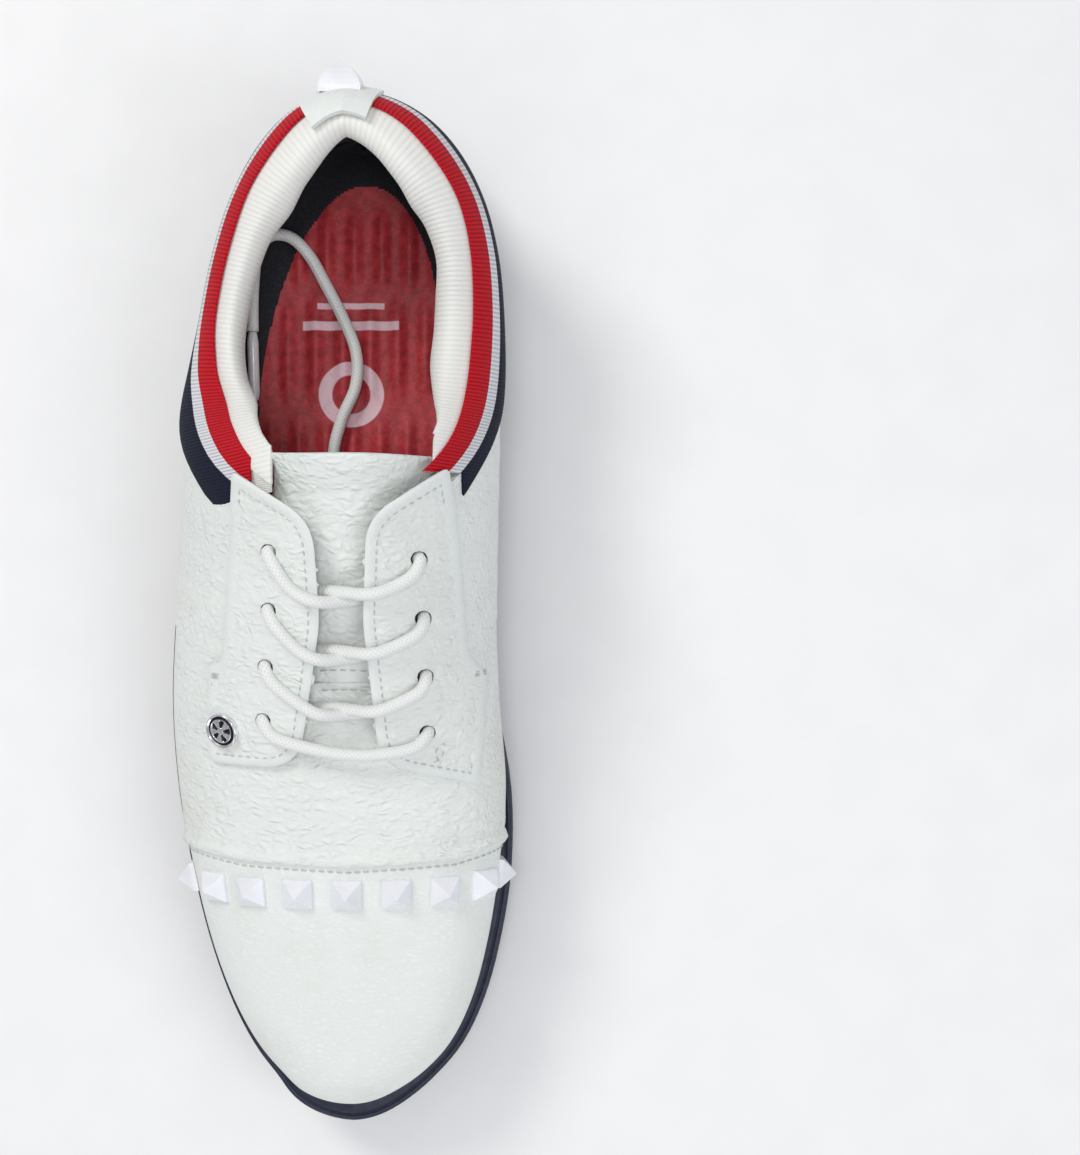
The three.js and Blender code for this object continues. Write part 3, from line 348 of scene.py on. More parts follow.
# %% Lines on the surface
def resample(points, pitch):
    """Points evenly spaced along a polyline."""
    points = np.asarray(points, float)
    gap = np.linalg.norm(np.diff(points, axis=0), axis=1)
    run = np.concatenate([[0], np.cumsum(gap)])
    count = max(2, int(round(run[-1] / pitch)) + 1)
    want = np.linspace(0, run[-1], count)
    return np.stack([np.interp(want, run, points[:, k]) for k in range(points.shape[1])], 1)


def curve_through(points, count=200):
    """A Catmull-Rom curve through points of any dimension."""
    p = np.asarray(points, float)
    p = np.vstack([2 * p[0] - p[1], p, 2 * p[-1] - p[-2]])
    out = []
    for t in np.linspace(0, len(p) - 3 - 1e-9, count):
        i = int(t)
        u = t - i
        q = p[i:i + 4]
        out.append(0.5 * ((2 * q[1]) + (q[2] - q[0]) * u + (2 * q[0] - 5 * q[1] + 4 * q[2] - q[3]) * u * u
                          + (3 * q[1] - q[0] - 3 * q[2] + q[3]) * u**3))
    return np.array(out)


def rounded(corners, arc=6):
    """A closed outline with rounded corners, from [x, y, radius] points."""
    out = []
    n = len(corners)
    for i, corner in enumerate(corners):
        here = np.array(corner[:2], float)
        radius = corner[2] if len(corner) > 2 else 0
        back = np.array(corners[i - 1][:2], float) - here
        ahead = np.array(corners[(i + 1) % n][:2], float) - here
        if radius <= 0:
            out.append(here)
            continue
        u, v = back / np.linalg.norm(back), ahead / np.linalg.norm(ahead)
        half = math.acos(np.clip(np.dot(u, v), -1, 1)) / 2
        reach = min(radius / math.tan(half), 0.45 * np.linalg.norm(back), 0.45 * np.linalg.norm(ahead))
        start, end = here + u * reach, here + v * reach
        for t in np.linspace(0, 1, arc):
            out.append((1 - t) ** 2 * start + 2 * t * (1 - t) * here + t * t * end)
    return np.array(out)


# %% [markdown]
# ## Finishes
# Several materials share the same effects, so each effect is a node group: a pebble grain for
# leather, ribs for knit and ribbon, and soiling that collects unevenly. A group only gives out values
# that change over the surface. The shader itself stays in the material. Small helpers keep each node
# to one line, so a finish reads as a recipe.

# %% Node helpers
def new_group(name, inputs, outputs):
    group = bpy.data.node_groups.new(name, "ShaderNodeTree")
    for label, value in inputs:
        socket = group.interface.new_socket(label, in_out="INPUT", socket_type="NodeSocketFloat")
        socket.default_value = value
    for label, kind in outputs:
        group.interface.new_socket(label, in_out="OUTPUT", socket_type=kind)
    return group, group.nodes.new("NodeGroupInput"), group.nodes.new("NodeGroupOutput")


def maths(tree, operation, first, second=None):
    node = tree.nodes.new("ShaderNodeMath")
    node.operation = operation
    for i, value in enumerate([first, second]):
        if value is None:
            continue
        if isinstance(value, (int, float)):
            node.inputs[i].default_value = value
        else:
            tree.links.new(value, node.inputs[i])
    return node.outputs[0]


def texture(tree, kind, coordinates, scale, **settings):
    node = tree.nodes.new(kind)
    if coordinates is not None:
        tree.links.new(coordinates, node.inputs["Vector"])
    if isinstance(scale, (int, float)):
        node.inputs["Scale"].default_value = scale
    else:
        tree.links.new(scale, node.inputs["Scale"])
    for key, value in settings.items():
        if key in node.inputs:
            node.inputs[key].default_value = value
        else:
            setattr(node, key, value)
    return node


def ramp(tree, value, start, end, low=0.0, high=1.0):
    node = tree.nodes.new("ShaderNodeMapRange")
    node.interpolation_type = "SMOOTHSTEP"
    tree.links.new(value, node.inputs["Value"])
    for key, number in (("From Min", start), ("From Max", end), ("To Min", low), ("To Max", high)):
        node.inputs[key].default_value = number
    return node.outputs["Result"]


def place(tree):
    """Where a point is in the piece's own frame, in metres."""
    return tree.nodes.new("ShaderNodeTexCoord").outputs["Object"]


# %% [markdown]
# Tumbled full-grain leather is covered by soft pebbles with fine creases between them. A picture of
# leather could be mapped on, but a Voronoi pattern bent by noise never repeats and has no seams.
# Its distance to the cell edge gives rounded tops, and a second noise adds slow folds.

# %% Pebble grain
grain, enter, leave = new_group(
    "pebble_grain", [("Scale", 900.0), ("Crease", 0.5)],
    [("Height", "NodeSocketFloat"), ("Pit", "NodeSocketFloat")])
where = place(grain)
stretch = grain.nodes.new("ShaderNodeVectorMath")
stretch.operation = "MULTIPLY"
stretch.inputs[1].default_value = (0.62, 1.25, 1.0)  # the pebbles lie across the shoe
grain.links.new(where, stretch.inputs[0])
warp = texture(grain, "ShaderNodeTexNoise", where, 150.0, Detail=2.0)
shifted = grain.nodes.new("ShaderNodeVectorMath")
shifted.operation = "MULTIPLY_ADD"
shifted.inputs[1].default_value = (0.0050, 0.0050, 0.0050)
grain.links.new(warp.outputs["Color"], shifted.inputs[0])
grain.links.new(stretch.outputs[0], shifted.inputs[2])
cells = texture(grain, "ShaderNodeTexVoronoi", shifted.outputs[0], enter.outputs["Scale"],
                feature="DISTANCE_TO_EDGE")
tops = ramp(grain, cells.outputs["Distance"], 0.0, 0.45)
patch = texture(grain, "ShaderNodeTexNoise", where, 70.0, Detail=2.0)
uneven = ramp(grain, patch.outputs["Fac"], 0.35, 0.65, 0.7, 1.0)
pits = maths(grain, "MULTIPLY", maths(grain, "SUBTRACT", 1.0, tops), uneven)
creases = texture(grain, "ShaderNodeTexNoise", shifted.outputs[0], 300.0, Detail=2.0, Roughness=0.45)
folds = ramp(grain, creases.outputs["Fac"], 0.3, 0.7)
lift = maths(grain, "MULTIPLY", folds, enter.outputs["Crease"])
grain.links.new(maths(grain, "SUBTRACT", lift, pits), leave.inputs["Height"])
grain.links.new(pits, leave.inputs["Pit"])
print("pebble grain nodes:", len(grain.nodes))

# %% [markdown]
# Grosgrain ribbon and rib knit are both rows of parallel cords. The cords follow the piece's own
# length through its UV map, so they turn with it round the heel, which a pattern in space would not
# do.

# %% Ribs
ribs, enter, leave = new_group("ribs", [("Pitch", 0.001)], [("Height", "NodeSocketFloat")])
uv = ribs.nodes.new("ShaderNodeTexCoord").outputs["UV"]
split = ribs.nodes.new("ShaderNodeSeparateXYZ")
ribs.links.new(uv, split.inputs[0])
turn = maths(ribs, "MULTIPLY", maths(ribs, "DIVIDE", split.outputs["X"], enter.outputs["Pitch"]), 2 * math.pi)
wave = maths(ribs, "SINE", maths(ribs, "MULTIPLY", turn, 0.5))
ribs.links.new(maths(ribs, "ABSOLUTE", wave), leave.inputs["Height"])
print("rib nodes:", len(ribs.nodes))

# %% [markdown]
# Handling and turf leave faint uneven patches, more of them low down. Noise alone would soil the
# whole shoe alike, so its mask is multiplied by one that grows towards the ground.

# %% Soiling
soil, enter, leave = new_group("soiling", [("Amount", 0.2)], [("Mask", "NodeSocketFloat")])
where = place(soil)
patches = texture(soil, "ShaderNodeTexNoise", where, 38.0, Detail=5.0, Roughness=0.65)
parts = soil.nodes.new("ShaderNodeSeparateXYZ")
soil.links.new(where, parts.inputs[0])
lowness = ramp(soil, parts.outputs["Z"], 0.06, 0.012, 0.25, 1.0)
spots = ramp(soil, patches.outputs["Fac"], 0.45, 0.75)
soil.links.new(maths(soil, "MULTIPLY", maths(soil, "MULTIPLY", spots, lowness), enter.outputs["Amount"]),
               leave.inputs["Mask"])
print("groups:", len(bpy.data.node_groups))


# %% [markdown]
# Each finish starts from a Principled shader with its plain colour and roughness. The helpers below
# place an effect group in it, mix two colours by a mask, and turn a height into relief.

# %% Material helpers
def new_material(name, colour, roughness, **sockets):
    material = bpy.data.materials.new(name)
    material.use_nodes = True
    shader = material.node_tree.nodes["Principled BSDF"]
    shader.inputs["Base Color"].default_value = (*colour, 1.0)
    shader.inputs["Roughness"].default_value = roughness
    for key, value in sockets.items():
        shader.inputs[key.replace("_", " ")].default_value = value
    return material, material.node_tree, shader


def use(tree, group, **values):
    node = tree.nodes.new("ShaderNodeGroup")
    node.node_tree = group
    for key, value in values.items():
        node.inputs[key].default_value = value
    return node


def bump(tree, shader, height, distance, strength=1.0, before=None):
    node = tree.nodes.new("ShaderNodeBump")
    node.inputs["Strength"].default_value = strength
    node.inputs["Distance"].default_value = distance
    tree.links.new(height, node.inputs["Height"])
    if before is not None:
        tree.links.new(before, node.inputs["Normal"])
    tree.links.new(node.outputs["Normal"], shader.inputs["Normal"])
    return node.outputs["Normal"]


def blend_colour(tree, factor, first, second):
    node = tree.nodes.new("ShaderNodeMix")
    node.data_type = "RGBA"
    tree.links.new(factor, node.inputs[0])
    for socket, value in ((node.inputs[6], first), (node.inputs[7], second)):
        if isinstance(value, tuple):
            socket.default_value = (*value, 1.0)
        else:
            tree.links.new(value, socket)
    return node.outputs[2]


# %% [markdown]
# White hide is never one white: its creases are rougher and are painted darker as shade, and it soils.
# The same recipe gives the pebbled panels, the nearly smooth cap and the fine tab, because only the
# size and depth of the grain differ.

# %% White leather
def leather(name, colour, scale, crease, depth, roughness=0.42):
    material, tree, shader = new_material(name, colour, roughness, Specular_IOR_Level=0.45)
    node = use(tree, grain, Scale=scale, Crease=crease)
    dirt = use(tree, soil, Amount=0.35)
    # painted shade: the creases between the pebbles are coloured darker; the soiling mix below is real dirt
    shade = blend_colour(tree, maths(tree, "MULTIPLY", node.outputs["Pit"], 0.2), colour,
                         tuple(c * 0.72 for c in colour))
    shade = blend_colour(tree, dirt.outputs["Mask"], shade, (0.52, 0.48, 0.38))
    tree.links.new(shade, shader.inputs["Base Color"])
    rough = maths(tree, "ADD", maths(tree, "MULTIPLY", node.outputs["Pit"], 0.18), roughness)
    tree.links.new(rough, shader.inputs["Roughness"])
    bump(tree, shader, node.outputs["Height"], depth)
    return material


PEBBLED = leather("white_pebbled_leather", (0.80, 0.83, 0.80), 420.0, 0.8, 0.00026)
CAP = leather("white_cap_leather", (0.80, 0.83, 0.80), 620.0, 0.8, 0.00005, 0.36)
FINE = leather("white_fine_leather", (0.81, 0.84, 0.815), 1500.0, 0.5, 0.00008, 0.38)
SMOOTHED = leather("white_smooth_leather", (0.79, 0.82, 0.80), 2200.0, 0.25, 0.00004, 0.33)
print("leathers:", [hide.name for hide in (PEBBLED, CAP, FINE, SMOOTHED)])

# %% [markdown]
# Thread, rubber, metal and board have no pattern to see, but none is perfectly even. One recipe
# with a fine noise in colour, roughness and relief serves all of them.

# %% Threads, rubber and the rest
def plain(name, colour, roughness, scale=700.0, depth=0.00004, darker=0.75, **sockets):
    """A finish with a fine noise in its colour, roughness and relief."""
    material, tree, shader = new_material(name, colour, roughness, **sockets)
    noise = texture(tree, "ShaderNodeTexNoise", place(tree), scale, Detail=4.0)
    mask = ramp(tree, noise.outputs["Fac"], 0.35, 0.65)
    shade = blend_colour(tree, mask, tuple(c * darker for c in colour), colour)
    tree.links.new(shade, shader.inputs["Base Color"])
    rough = maths(tree, "ADD", maths(tree, "MULTIPLY", mask, -0.08), roughness + 0.04)
    tree.links.new(rough, shader.inputs["Roughness"])
    bump(tree, shader, noise.outputs["Fac"], depth)
    return material


THREAD = plain("stitching_thread", (0.60, 0.62, 0.61), 0.6, 3000.0, 0.00005)
NAVY_SOLE = plain("navy_sole", (0.014, 0.020, 0.045), 0.5, 420.0, 0.00006, 0.7)
NAVY_TREAD = plain("navy_tread", (0.012, 0.017, 0.036), 0.65, 300.0, 0.0001, 0.65)
INSIDE = plain("navy_lining", (0.009, 0.011, 0.018), 0.85, 1500.0, 0.0001, 0.6, Sheen_Weight=0.15)
STUD_WHITE = plain("stud_white", (0.86, 0.87, 0.91), 0.3, 160.0, 0.00002, 0.94, Coat_Weight=0.25)
DARK_METAL = plain("blackened_metal", (0.02, 0.02, 0.026), 0.4, 500.0, 0.00003, 0.6, Metallic=0.6)
BRIGHT_METAL = plain("polished_metal", (0.90, 0.90, 0.92), 0.2, 900.0, 0.00002, 0.8, Metallic=1.0)
STEEL = plain("shank_steel", (0.5, 0.5, 0.5), 0.35, 600.0, 0.00003, 0.8, Metallic=1.0)
FIBRE = plain("fibre_board", (0.46, 0.34, 0.21), 0.85, 500.0, 0.0001, 0.7)
STIFF = plain("stiffener_sheet", (0.62, 0.58, 0.5), 0.8, 700.0, 0.0001, 0.8)
TIP = plain("aglet_film", (0.75, 0.76, 0.78), 0.2, 900.0, 0.00002, 0.92, Coat_Weight=0.6)
print("materials:", len(bpy.data.materials))

# %% [markdown]
# ## The lace and its loose ends
# One round braided lace runs through eight holes. Its two ends hang free inside the shoe, and their
# length is then measured. A curve object with a bevel would give the tube, but one swept by hand has
# a UV map in real lengths for the braid to follow.

# %% Tubes
def tube(name, points, radius, material, sides=14, taper=0.0, **more):
    points = np.asarray(points, float)
    tangent = np.gradient(points, axis=0)
    tangent /= np.linalg.norm(tangent, axis=1, keepdims=True)
    side = np.cross(tangent[0], [0.3, 0.2, 1.0])
    rings, marks, run = [], [], 0.0
    for i, (p, t) in enumerate(zip(points, tangent)):
        side = side - t * np.dot(side, t)
        side /= np.linalg.norm(side)
        up = np.cross(side, t)
        run += np.linalg.norm(points[i] - points[i - 1]) if i else 0.0
        end = min(i, len(points) - 1 - i) * np.linalg.norm(points[1] - points[0]) / radius
        size = radius * (1 - taper * math.exp(-(end**2)))
        turn = np.linspace(0, 2 * np.pi, sides + 1)
        rings.append(p + size * (np.outer(np.cos(turn), side) + np.outer(np.sin(turn), up)))
        marks.append(np.stack([np.full(sides + 1, run * MM), turn / (2 * np.pi)], 1))
    return grid_piece(name, np.array(rings), material, uv=np.array(marks), caps=True, **more)


# %% [markdown]
# A round lace is braided from strands that cross at a slant, and their crossings make small
# diamonds. Two sine waves that run opposite ways round the tube make the same pattern from the UV
# map, and the low places between the strands are painted darker as shade.

# %% Braid
lace_white, tree, shader = new_material("white_braid", (0.80, 0.815, 0.795), 0.62, Sheen_Weight=0.2)
uv = tree.nodes.new("ShaderNodeTexCoord").outputs["UV"]
split = tree.nodes.new("ShaderNodeSeparateXYZ")
tree.links.new(uv, split.inputs[0])
BRAID_PITCH = 0.0011
STRANDS = 8
travel = maths(tree, "MULTIPLY", split.outputs["X"], 2 * math.pi / BRAID_PITCH)
round_it = maths(tree, "MULTIPLY", split.outputs["Y"], 2 * math.pi * STRANDS)
one_way = maths(tree, "SINE", maths(tree, "ADD", travel, round_it))
other_way = maths(tree, "SINE", maths(tree, "SUBTRACT", travel, round_it))
strands = ramp(tree, maths(tree, "MAXIMUM", one_way, other_way), -0.4, 1.0)
# painted shade: the lace is coloured darker in the low places between the strands
lace_painted_shade = blend_colour(tree, strands, (0.73, 0.745, 0.725), (0.81, 0.825, 0.805))
tree.links.new(lace_painted_shade, shader.inputs["Base Color"])
bump(tree, shader, strands, 0.00006)
print("braid strands:", STRANDS)

# %% [markdown]
# The lace goes down through a hole, under its facing, across the tongue and up over the other
# facing. Each crossing is alike, so a few chosen points are moved from hole to hole, laid on the
# last and joined by a curve.

# %% The route through the eyelets
LACE_RADIUS = 1.6
OUTER_EYELETS = [(-15.8, 17.2), (-16.7, 2.8), (-18.4, -11.4), (-19.9, -25.3)]
INNER_EYELETS = [(19.6, 15.5), (20.2, 0.7), (20.5, -14.1), (20.8, -28.7)]
OVER = 3.3  # the lace's middle, lying on the facing
UNDER = -3.3


def through(eyelet):
    return [(*eyelet, 1.6), (*eyelet, -1.2)]


def crossing(start, over_points):
    away = -1 if start[0] > 0 else 1
    return [*through(start), (start[0] + away * 3.2, start[1] + 1, UNDER), *over_points]


def to_outer(eyelet):
    y = eyelet[1]
    return [(9, y - 13.2, UNDER), (2, y - 13, -1.4), (-4.5, y - 11.3, OVER - 0.3), (-9.5, y - 8.6, OVER),
            (eyelet[0] + 2.6, y - 3.4, OVER)]


def to_inner(eyelet):
    y = eyelet[1]
    return [(-6.5, y - 9.5, UNDER), (0.5, y - 8.8, -0.9), (7.6, y - 7.8, OVER - 0.3), (13, y - 6, OVER),
            (eyelet[0] - 2.2, y - 3, OVER)]


outer, inner = OUTER_EYELETS, INNER_EYELETS
up_outer = [*crossing(inner[3], to_outer(outer[2])), *crossing(outer[2], to_inner(inner[1])),
            *crossing(inner[1], to_outer(outer[0])), *through(outer[0]), (-18.6, 18.4, -3.6),
            (-21.5, 19.6, -4.6)]
up_inner = [*crossing(outer[3], to_inner(inner[2])), *crossing(inner[2], to_outer(outer[1])),
            *crossing(outer[1], to_inner(inner[0])), *through(inner[0]), (22.5, 16.6, -3.7),
            (25.8, 17.6, -4.6)]
bar = [(17, -31.6, OVER), (9, -33, OVER), (1, -32.8, OVER + 0.2), (-7.6, -31.4, OVER), (-16.4, -28.8, OVER)]
route = np.array([*reversed(up_outer), *bar, *up_inner], float)
laid = on_plan(route[:, :2], route[:, 2])
lace = tube("lace_braid", resample(curve_through(laid, 1600), 0.9), LACE_RADIUS, lace_white, 16)
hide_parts("lace")
held_length = np.linalg.norm(np.diff(curve_through(laid, 1600), axis=0), axis=1).sum()
print("held lace, mm:", round(float(held_length)))

# %% [markdown]
# Both ends go down beside the tongue. The outer one lies on the footbed towards the heel and turns
# forward along the wall; the inner one lies under the vamp. Their points are given one by one, since
# a loose lace follows no rule.

# %% The loose ends
TAIL_OUTER = [(-19.9, 21.5, 69.4), (-21, 22.3, 65.5), (-21.3, 22.6, 60), (-20.6, 22.5, 53),
              (-18.6, 21.6, 45.5), (-15.2, 19.4, 38.5), (-10.4, 15.8, 32.4), (-4.4, 12.6, 29.4),
              (1.6, 12.6, 28.9), (5.6, 16.4, 29.2), (5.2, 22.2, 29.7), (1.4, 28.2, 30.3), (-2.6, 34.6, 30.9),
              (-5.6, 43, 31.8), (-3.4, 53, 32.5), (0.4, 62, 32.9), (0.6, 71, 33.3), (-2.8, 80, 33.6),
              (-7.4, 89, 33.9), (-11.8, 96.8, 34.4), (-16.6, 101.4, 36.4), (-21.8, 101.4, 38.4),
              (-25, 97, 39), (-26, 90.6, 38.8), (-26.5, 83.4, 37.8), (-26.6, 76.2, 37)]
TAIL_INNER = [(23.4, 19.4, 64.6), (24.6, 20.4, 60.6), (24.9, 20.6, 55), (24.1, 19.4, 48), (22.4, 16.4, 41),
              (20.2, 11, 34.4), (18.4, 4, 29.8), (17, -4.4, 27.8), (14.8, -13.6, 26.6), (11.2, -22.8, 25.8),
              (5.6, -31.6, 25.2), (-2, -38.2, 24.8), (-10.4, -40.4, 24.8), (-17, -38.4, 25.4),
              (-20.8, -33.4, 26.2),
              (-22, -27.4, 27)]


TIP_GAP, TIP_LENGTH, TIP_RADIUS = 0.2, 18.1, 1.5


def loose_end(name, points, node, tip_node):
    path = resample(curve_through(points, 800), 1.5)
    obj = tube(name, path, LACE_RADIUS, lace_white, 14)
    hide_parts(node)
    length = np.linalg.norm(np.diff(path, axis=0), axis=1).sum()
    low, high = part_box(tip_node)
    start = path[-1]
    centre = (np.array([*(low + high)]) / 2) / MM - SHIFT
    way = (centre - start) / np.linalg.norm(centre - start)
    tip_line = start + np.outer(np.linspace(TIP_GAP, TIP_GAP + TIP_LENGTH, 20), way)
    tip = tube(name + "_aglet", tip_line, TIP_RADIUS, TIP, 14, taper=0.25)
    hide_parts(tip_node)
    tuple(metres(points[0]))
    [tuple(p) for p in metres(path)]
    print(name, "mm:", round(float(length)))
    return length


tails = loose_end("lace_end_outer", TAIL_OUTER, "lace_tail_lateral", "aglet_lateral")
tails += loose_end("lace_end_inner", TAIL_INNER, "lace_tail_medial", "aglet_medial")
print("whole lace with tips, mm:", round(float(held_length + tails + 2 * TIP_LENGTH)))

# %% [markdown]
# ## The sole unit
# The moulded sole is one smooth wall swept round the foot's outline, with a welt on its top edge and
# a tread below. Extruding an outline would give flat walls, so each band is built from closed rows
# round the shoe, each at its own distance from the upper and its own height.

# %% The sole's outline
SOLE_MARGIN, TOE_MARGIN = 3.6, 0.4
FLAT_FRONT, TOE_SPRING = -60.0, 9.0
LUG_HEIGHT, OUTSOLE_BASE = 3.0, 2.6


def spring(y):
    return TOE_SPRING * np.clip((FLAT_FRONT - y) / (HALF + FLAT_FRONT), 0, None) ** 2


def margin(a):
    return SOLE_MARGIN + TOE_MARGIN * (1 - smooth(a / 0.26))


def outline(a, side, distance):
    """Plan points at a distance outside the upper's widest line; z is the feather height."""
    step = 0.004
    foot = last(a, side)
    ahead = last(np.minimum(a + 1e-3, 1), side) - last(np.maximum(a - 1e-3, 0), side)
    ahead[..., 2] = 0
    ahead /= np.maximum(np.linalg.norm(ahead, axis=-1, keepdims=True), 1e-9)
    normal = np.stack([side * ahead[..., 1], -side * ahead[..., 0], np.zeros_like(ahead[..., 0])], -1)
    normal[a <= step / 4] = (0, -1, 0)
    normal[a >= 1 - step / 4] = (0, 1, 0)
    return foot + normal * (FEATHER_INSET + np.asarray(distance, float))[..., None]


ROUND = 110
once = (1 - np.cos(np.linspace(0, np.pi, ROUND))) / 2  # more rows where the toe and the heel turn
lap_a = np.concatenate([once, once[-2:0:-1]])
lap_side = np.concatenate([np.full(ROUND, -1.0), np.full(ROUND - 2, 1.0)])


def ring(distance, height):
    """One closed row round the shoe."""
    rows = np.empty((len(lap_a), 3))
    for side in (-1, 1):
        chosen = lap_side == side
        a = lap_a[chosen]
        out = distance(a) if callable(distance) else np.full(len(a), float(distance))
        rows[chosen] = outline(a, side, out - (inner_tuck(a) if side > 0 else 0.0))
        rows[chosen, 2] = height(a)
    return rows


def y_of(a):
    return -HALF * np.cos(np.pi * np.asarray(a))


def inner_tuck(a):
    """The sole tucks in under the arch and the inner heel, behind the ball of the foot."""
    y = y_of(a)
    return 5.2 * smooth((y + 78) / 66) * (1 - smooth((y - 120) / 11))


def tread_low(a):
    return spring(y_of(a)) + LUG_HEIGHT


def tread_top(a):
    return tread_low(a) + OUTSOLE_BASE


def lapped(name, profile, material, closed=True):
    """Rings one above another make a band; each entry is (distance, height) as functions of a."""
    rows = [ring(d, h) for d, h in profile]
    obj = grid_piece(name, np.array(rows), material, close_rows=closed, close_columns=True)
    return fix_normals(obj)


print("sole rows:", len(lap_a))

# %% [markdown]
# The wall is drawn as a cross-section: how far each row stands out from the margin, and how high it
# is. Small steps in and out make the moulded line under the welt, and the welt's own section has the
# groove where the real one is stitched.

# %% Sole wall, welt and tread
def beside(distance):
    """A row's distance from the upper, counted from the sole's margin."""
    return lambda a: margin(a) + distance


def over_feather(up):
    return lambda a: feather_height(a) + up


def over_tread(up):
    return lambda a: tread_top(a) + up


def wall(share, out):
    """A row of the side wall, at a share of its height."""
    def height(a):
        return tread_top(a) + 0.2 + share * (feather_height(a) + 0.4 - tread_top(a))

    return beside(out), height


WALL_SECTION = [(0.0, -0.9), (0.03, -0.35), (0.1, -0.1), (0.45, 0.0), (0.68, 0.0), (0.715, -0.15),
                (0.74, -0.75), (0.78, -0.8), (0.81, -0.2), (0.84, 0.0), (0.95, 0.0), (1.0, -0.35)]
sole_profile = [wall(share, out) for share, out in WALL_SECTION]
sole = lapped("sole_wall", [(-7, over_tread(0.2)), *sole_profile, (-7, over_feather(-0.3))], NAVY_SOLE)
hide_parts("midsole")

WELT_SECTION = [(-0.45, 0.3), (-0.25, 0.7), (-0.25, 1.7), (-0.5, 2.15), (-1.0, 2.35), (-1.45, 2.3),
                (-1.6, 1.85), (-1.95, 1.8), (-2.15, 2.3), (-2.6, 2.4)]
WELT_INSIDE = [(-0.9, 2.6), (-2.2, 2.2), (-2.2, 0.3)]
welt_profile = [(beside(out), over_feather(up)) for out, up in WELT_SECTION]
welt_profile += [(out, over_feather(up)) for out, up in WELT_INSIDE]
welt = lapped("welt_band", welt_profile, NAVY_SOLE)
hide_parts("welt")

tread = lapped("tread", [
    (-20, tread_top), (beside(-1.4), tread_top), (beside(-0.7), over_tread(-0.4)),
    (beside(-0.7), lambda a: tread_low(a) + 0.7), (beside(-1.5), tread_low), (-20, tread_low)],
    NAVY_TREAD, closed=False)


def fill_loops(obj):
    bm = bmesh.new()
    bm.from_mesh(obj.data)
    bmesh.ops.holes_fill(bm, edges=[e for e in bm.edges if e.is_boundary], sides=0)
    bmesh.ops.recalc_face_normals(bm, faces=bm.faces)
    bm.to_mesh(obj.data)
    bm.free()


fill_loops(tread)
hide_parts("outsole")
print("sole pieces:", [obj.name for obj in (sole, welt, tread)])

# %% [markdown]
# A spikeless tread grips with rubber lugs. They stand in rows across the sole and leave the arch
# free, so two loops place them and one small stack of rounded squares shapes each. All are one
# mesh, as they are moulded in one.

# %% Lugs under the sole
LUG_WIDTH, LUG_PITCH = 7.5, 16.0
LUG_SIDES = 16
LUG_STACK = ((0.0, 0.30), (0.35, 0.36), (2.4, 0.46), (3.4, 0.56))  # height, half width as a share
verts, faces = [], []


def add_lug(x, y):
    base = len(verts)
    for level, wide in LUG_STACK:
        for k in range(LUG_SIDES):
            turn = 2 * math.pi * (k + 0.5) / LUG_SIDES
            square = (abs(math.cos(turn)) ** 6 + abs(math.sin(turn)) ** 6) ** (-1 / 6)
            reach = wide * LUG_WIDTH * square
            verts.append((x + reach * math.cos(turn), y + reach * math.sin(turn), float(spring(y)) + level))
    top = base + LUG_SIDES * (len(LUG_STACK) - 1)
    faces.append(tuple(base + k for k in range(LUG_SIDES - 1, -1, -1)))
    faces.append(tuple(top + k for k in range(LUG_SIDES)))
    faces.extend(tuple(base + k for k in face) for face in grid_faces(len(LUG_STACK), LUG_SIDES, False, True))


lug_count = 0
for front, back in ((-112, -18), (62, 118)):
    for y in np.arange(front, back + 0.1, LUG_PITCH):
        a = np.array([float(station(y))])
        low_x = outline(a, -1, margin(a))[0, 0] + 0.75 * LUG_WIDTH
        high_x = outline(a, 1, margin(a) - inner_tuck(a))[0, 0] - 0.75 * LUG_WIDTH
        count = int((high_x - low_x) // LUG_PITCH)
        first = (low_x + high_x - count * LUG_PITCH) / 2
        for i in range(count + 1):
            add_lug(first + i * LUG_PITCH, y)
        lug_count += count + 1
lugs = piece("lugs", verts, faces, NAVY_TREAD, shade=False)
print("lugs:", lug_count)

# %% [markdown]
# ## The upper
# A toe cap, a vamp and two quarters are cut from white hide, folded at their edges and lapped over
# each other. Where a panel is bounded by the feather edge, a grid between two curves on the last
# keeps its faces even; Solidify gives the hide's thickness.

# %% [markdown]
# The toe cap is one piece of smooth hide over the toes. A subdivided sheet could be pulled to
# shape, but a grid from the toe to the seam, laid on the last, has its edge exactly on the seam.

# %% Toe cap
CAP_SEAM = [(-90, -52), (-44, -60.5), (-28, -63.2), (0, -64.6), (28, -63.2), (40, -60.5), (90, -50)]
seam_x, seam_y = np.array(CAP_SEAM, float).T


def seam_station(b, shift=0.0):
    """The cap seam's station at each b."""
    a = np.full(np.shape(b), float(station(-62)))
    for _ in range(4):
        x = last(a, b)[..., 0]
        a = station(np.interp(x, seam_x, seam_y) + shift)
    return a


def panel(name, front, back, columns, rows, offset, material, thickness, bevel=0.3):
    """A grid between two station curves, at an offset given as a function of (a, b)."""
    t = np.linspace(0, 1, rows)[:, None]
    b = np.asarray(columns)[None, :]
    a = front(b) + (back(b) - front(b)) * t
    b = np.broadcast_to(b, a.shape)
    obj = grid_piece(name, skin(a, b, offset(a, b)), material)
    fix_normals(obj)
    face_out(obj)
    return thicken(obj, thickness, bevel)


def face_out(obj, centre=(0.0, 0.0, 0.03)):
    """Turns a sheet's faces away from the middle of the shoe."""
    mesh = obj.data
    middle = Vector(centre)
    total = sum((p.center - middle).dot(p.normal) * p.area for p in mesh.polygons)
    if total < 0:
        mesh.flip_normals()


FULL_WIDTH = np.linspace(-1, 1, 121)
TOE_START = 0.006  # just behind the toe's point, where the rows would shrink to nothing
UNDERLAP = 2.0  # how far the cap runs under the vamp


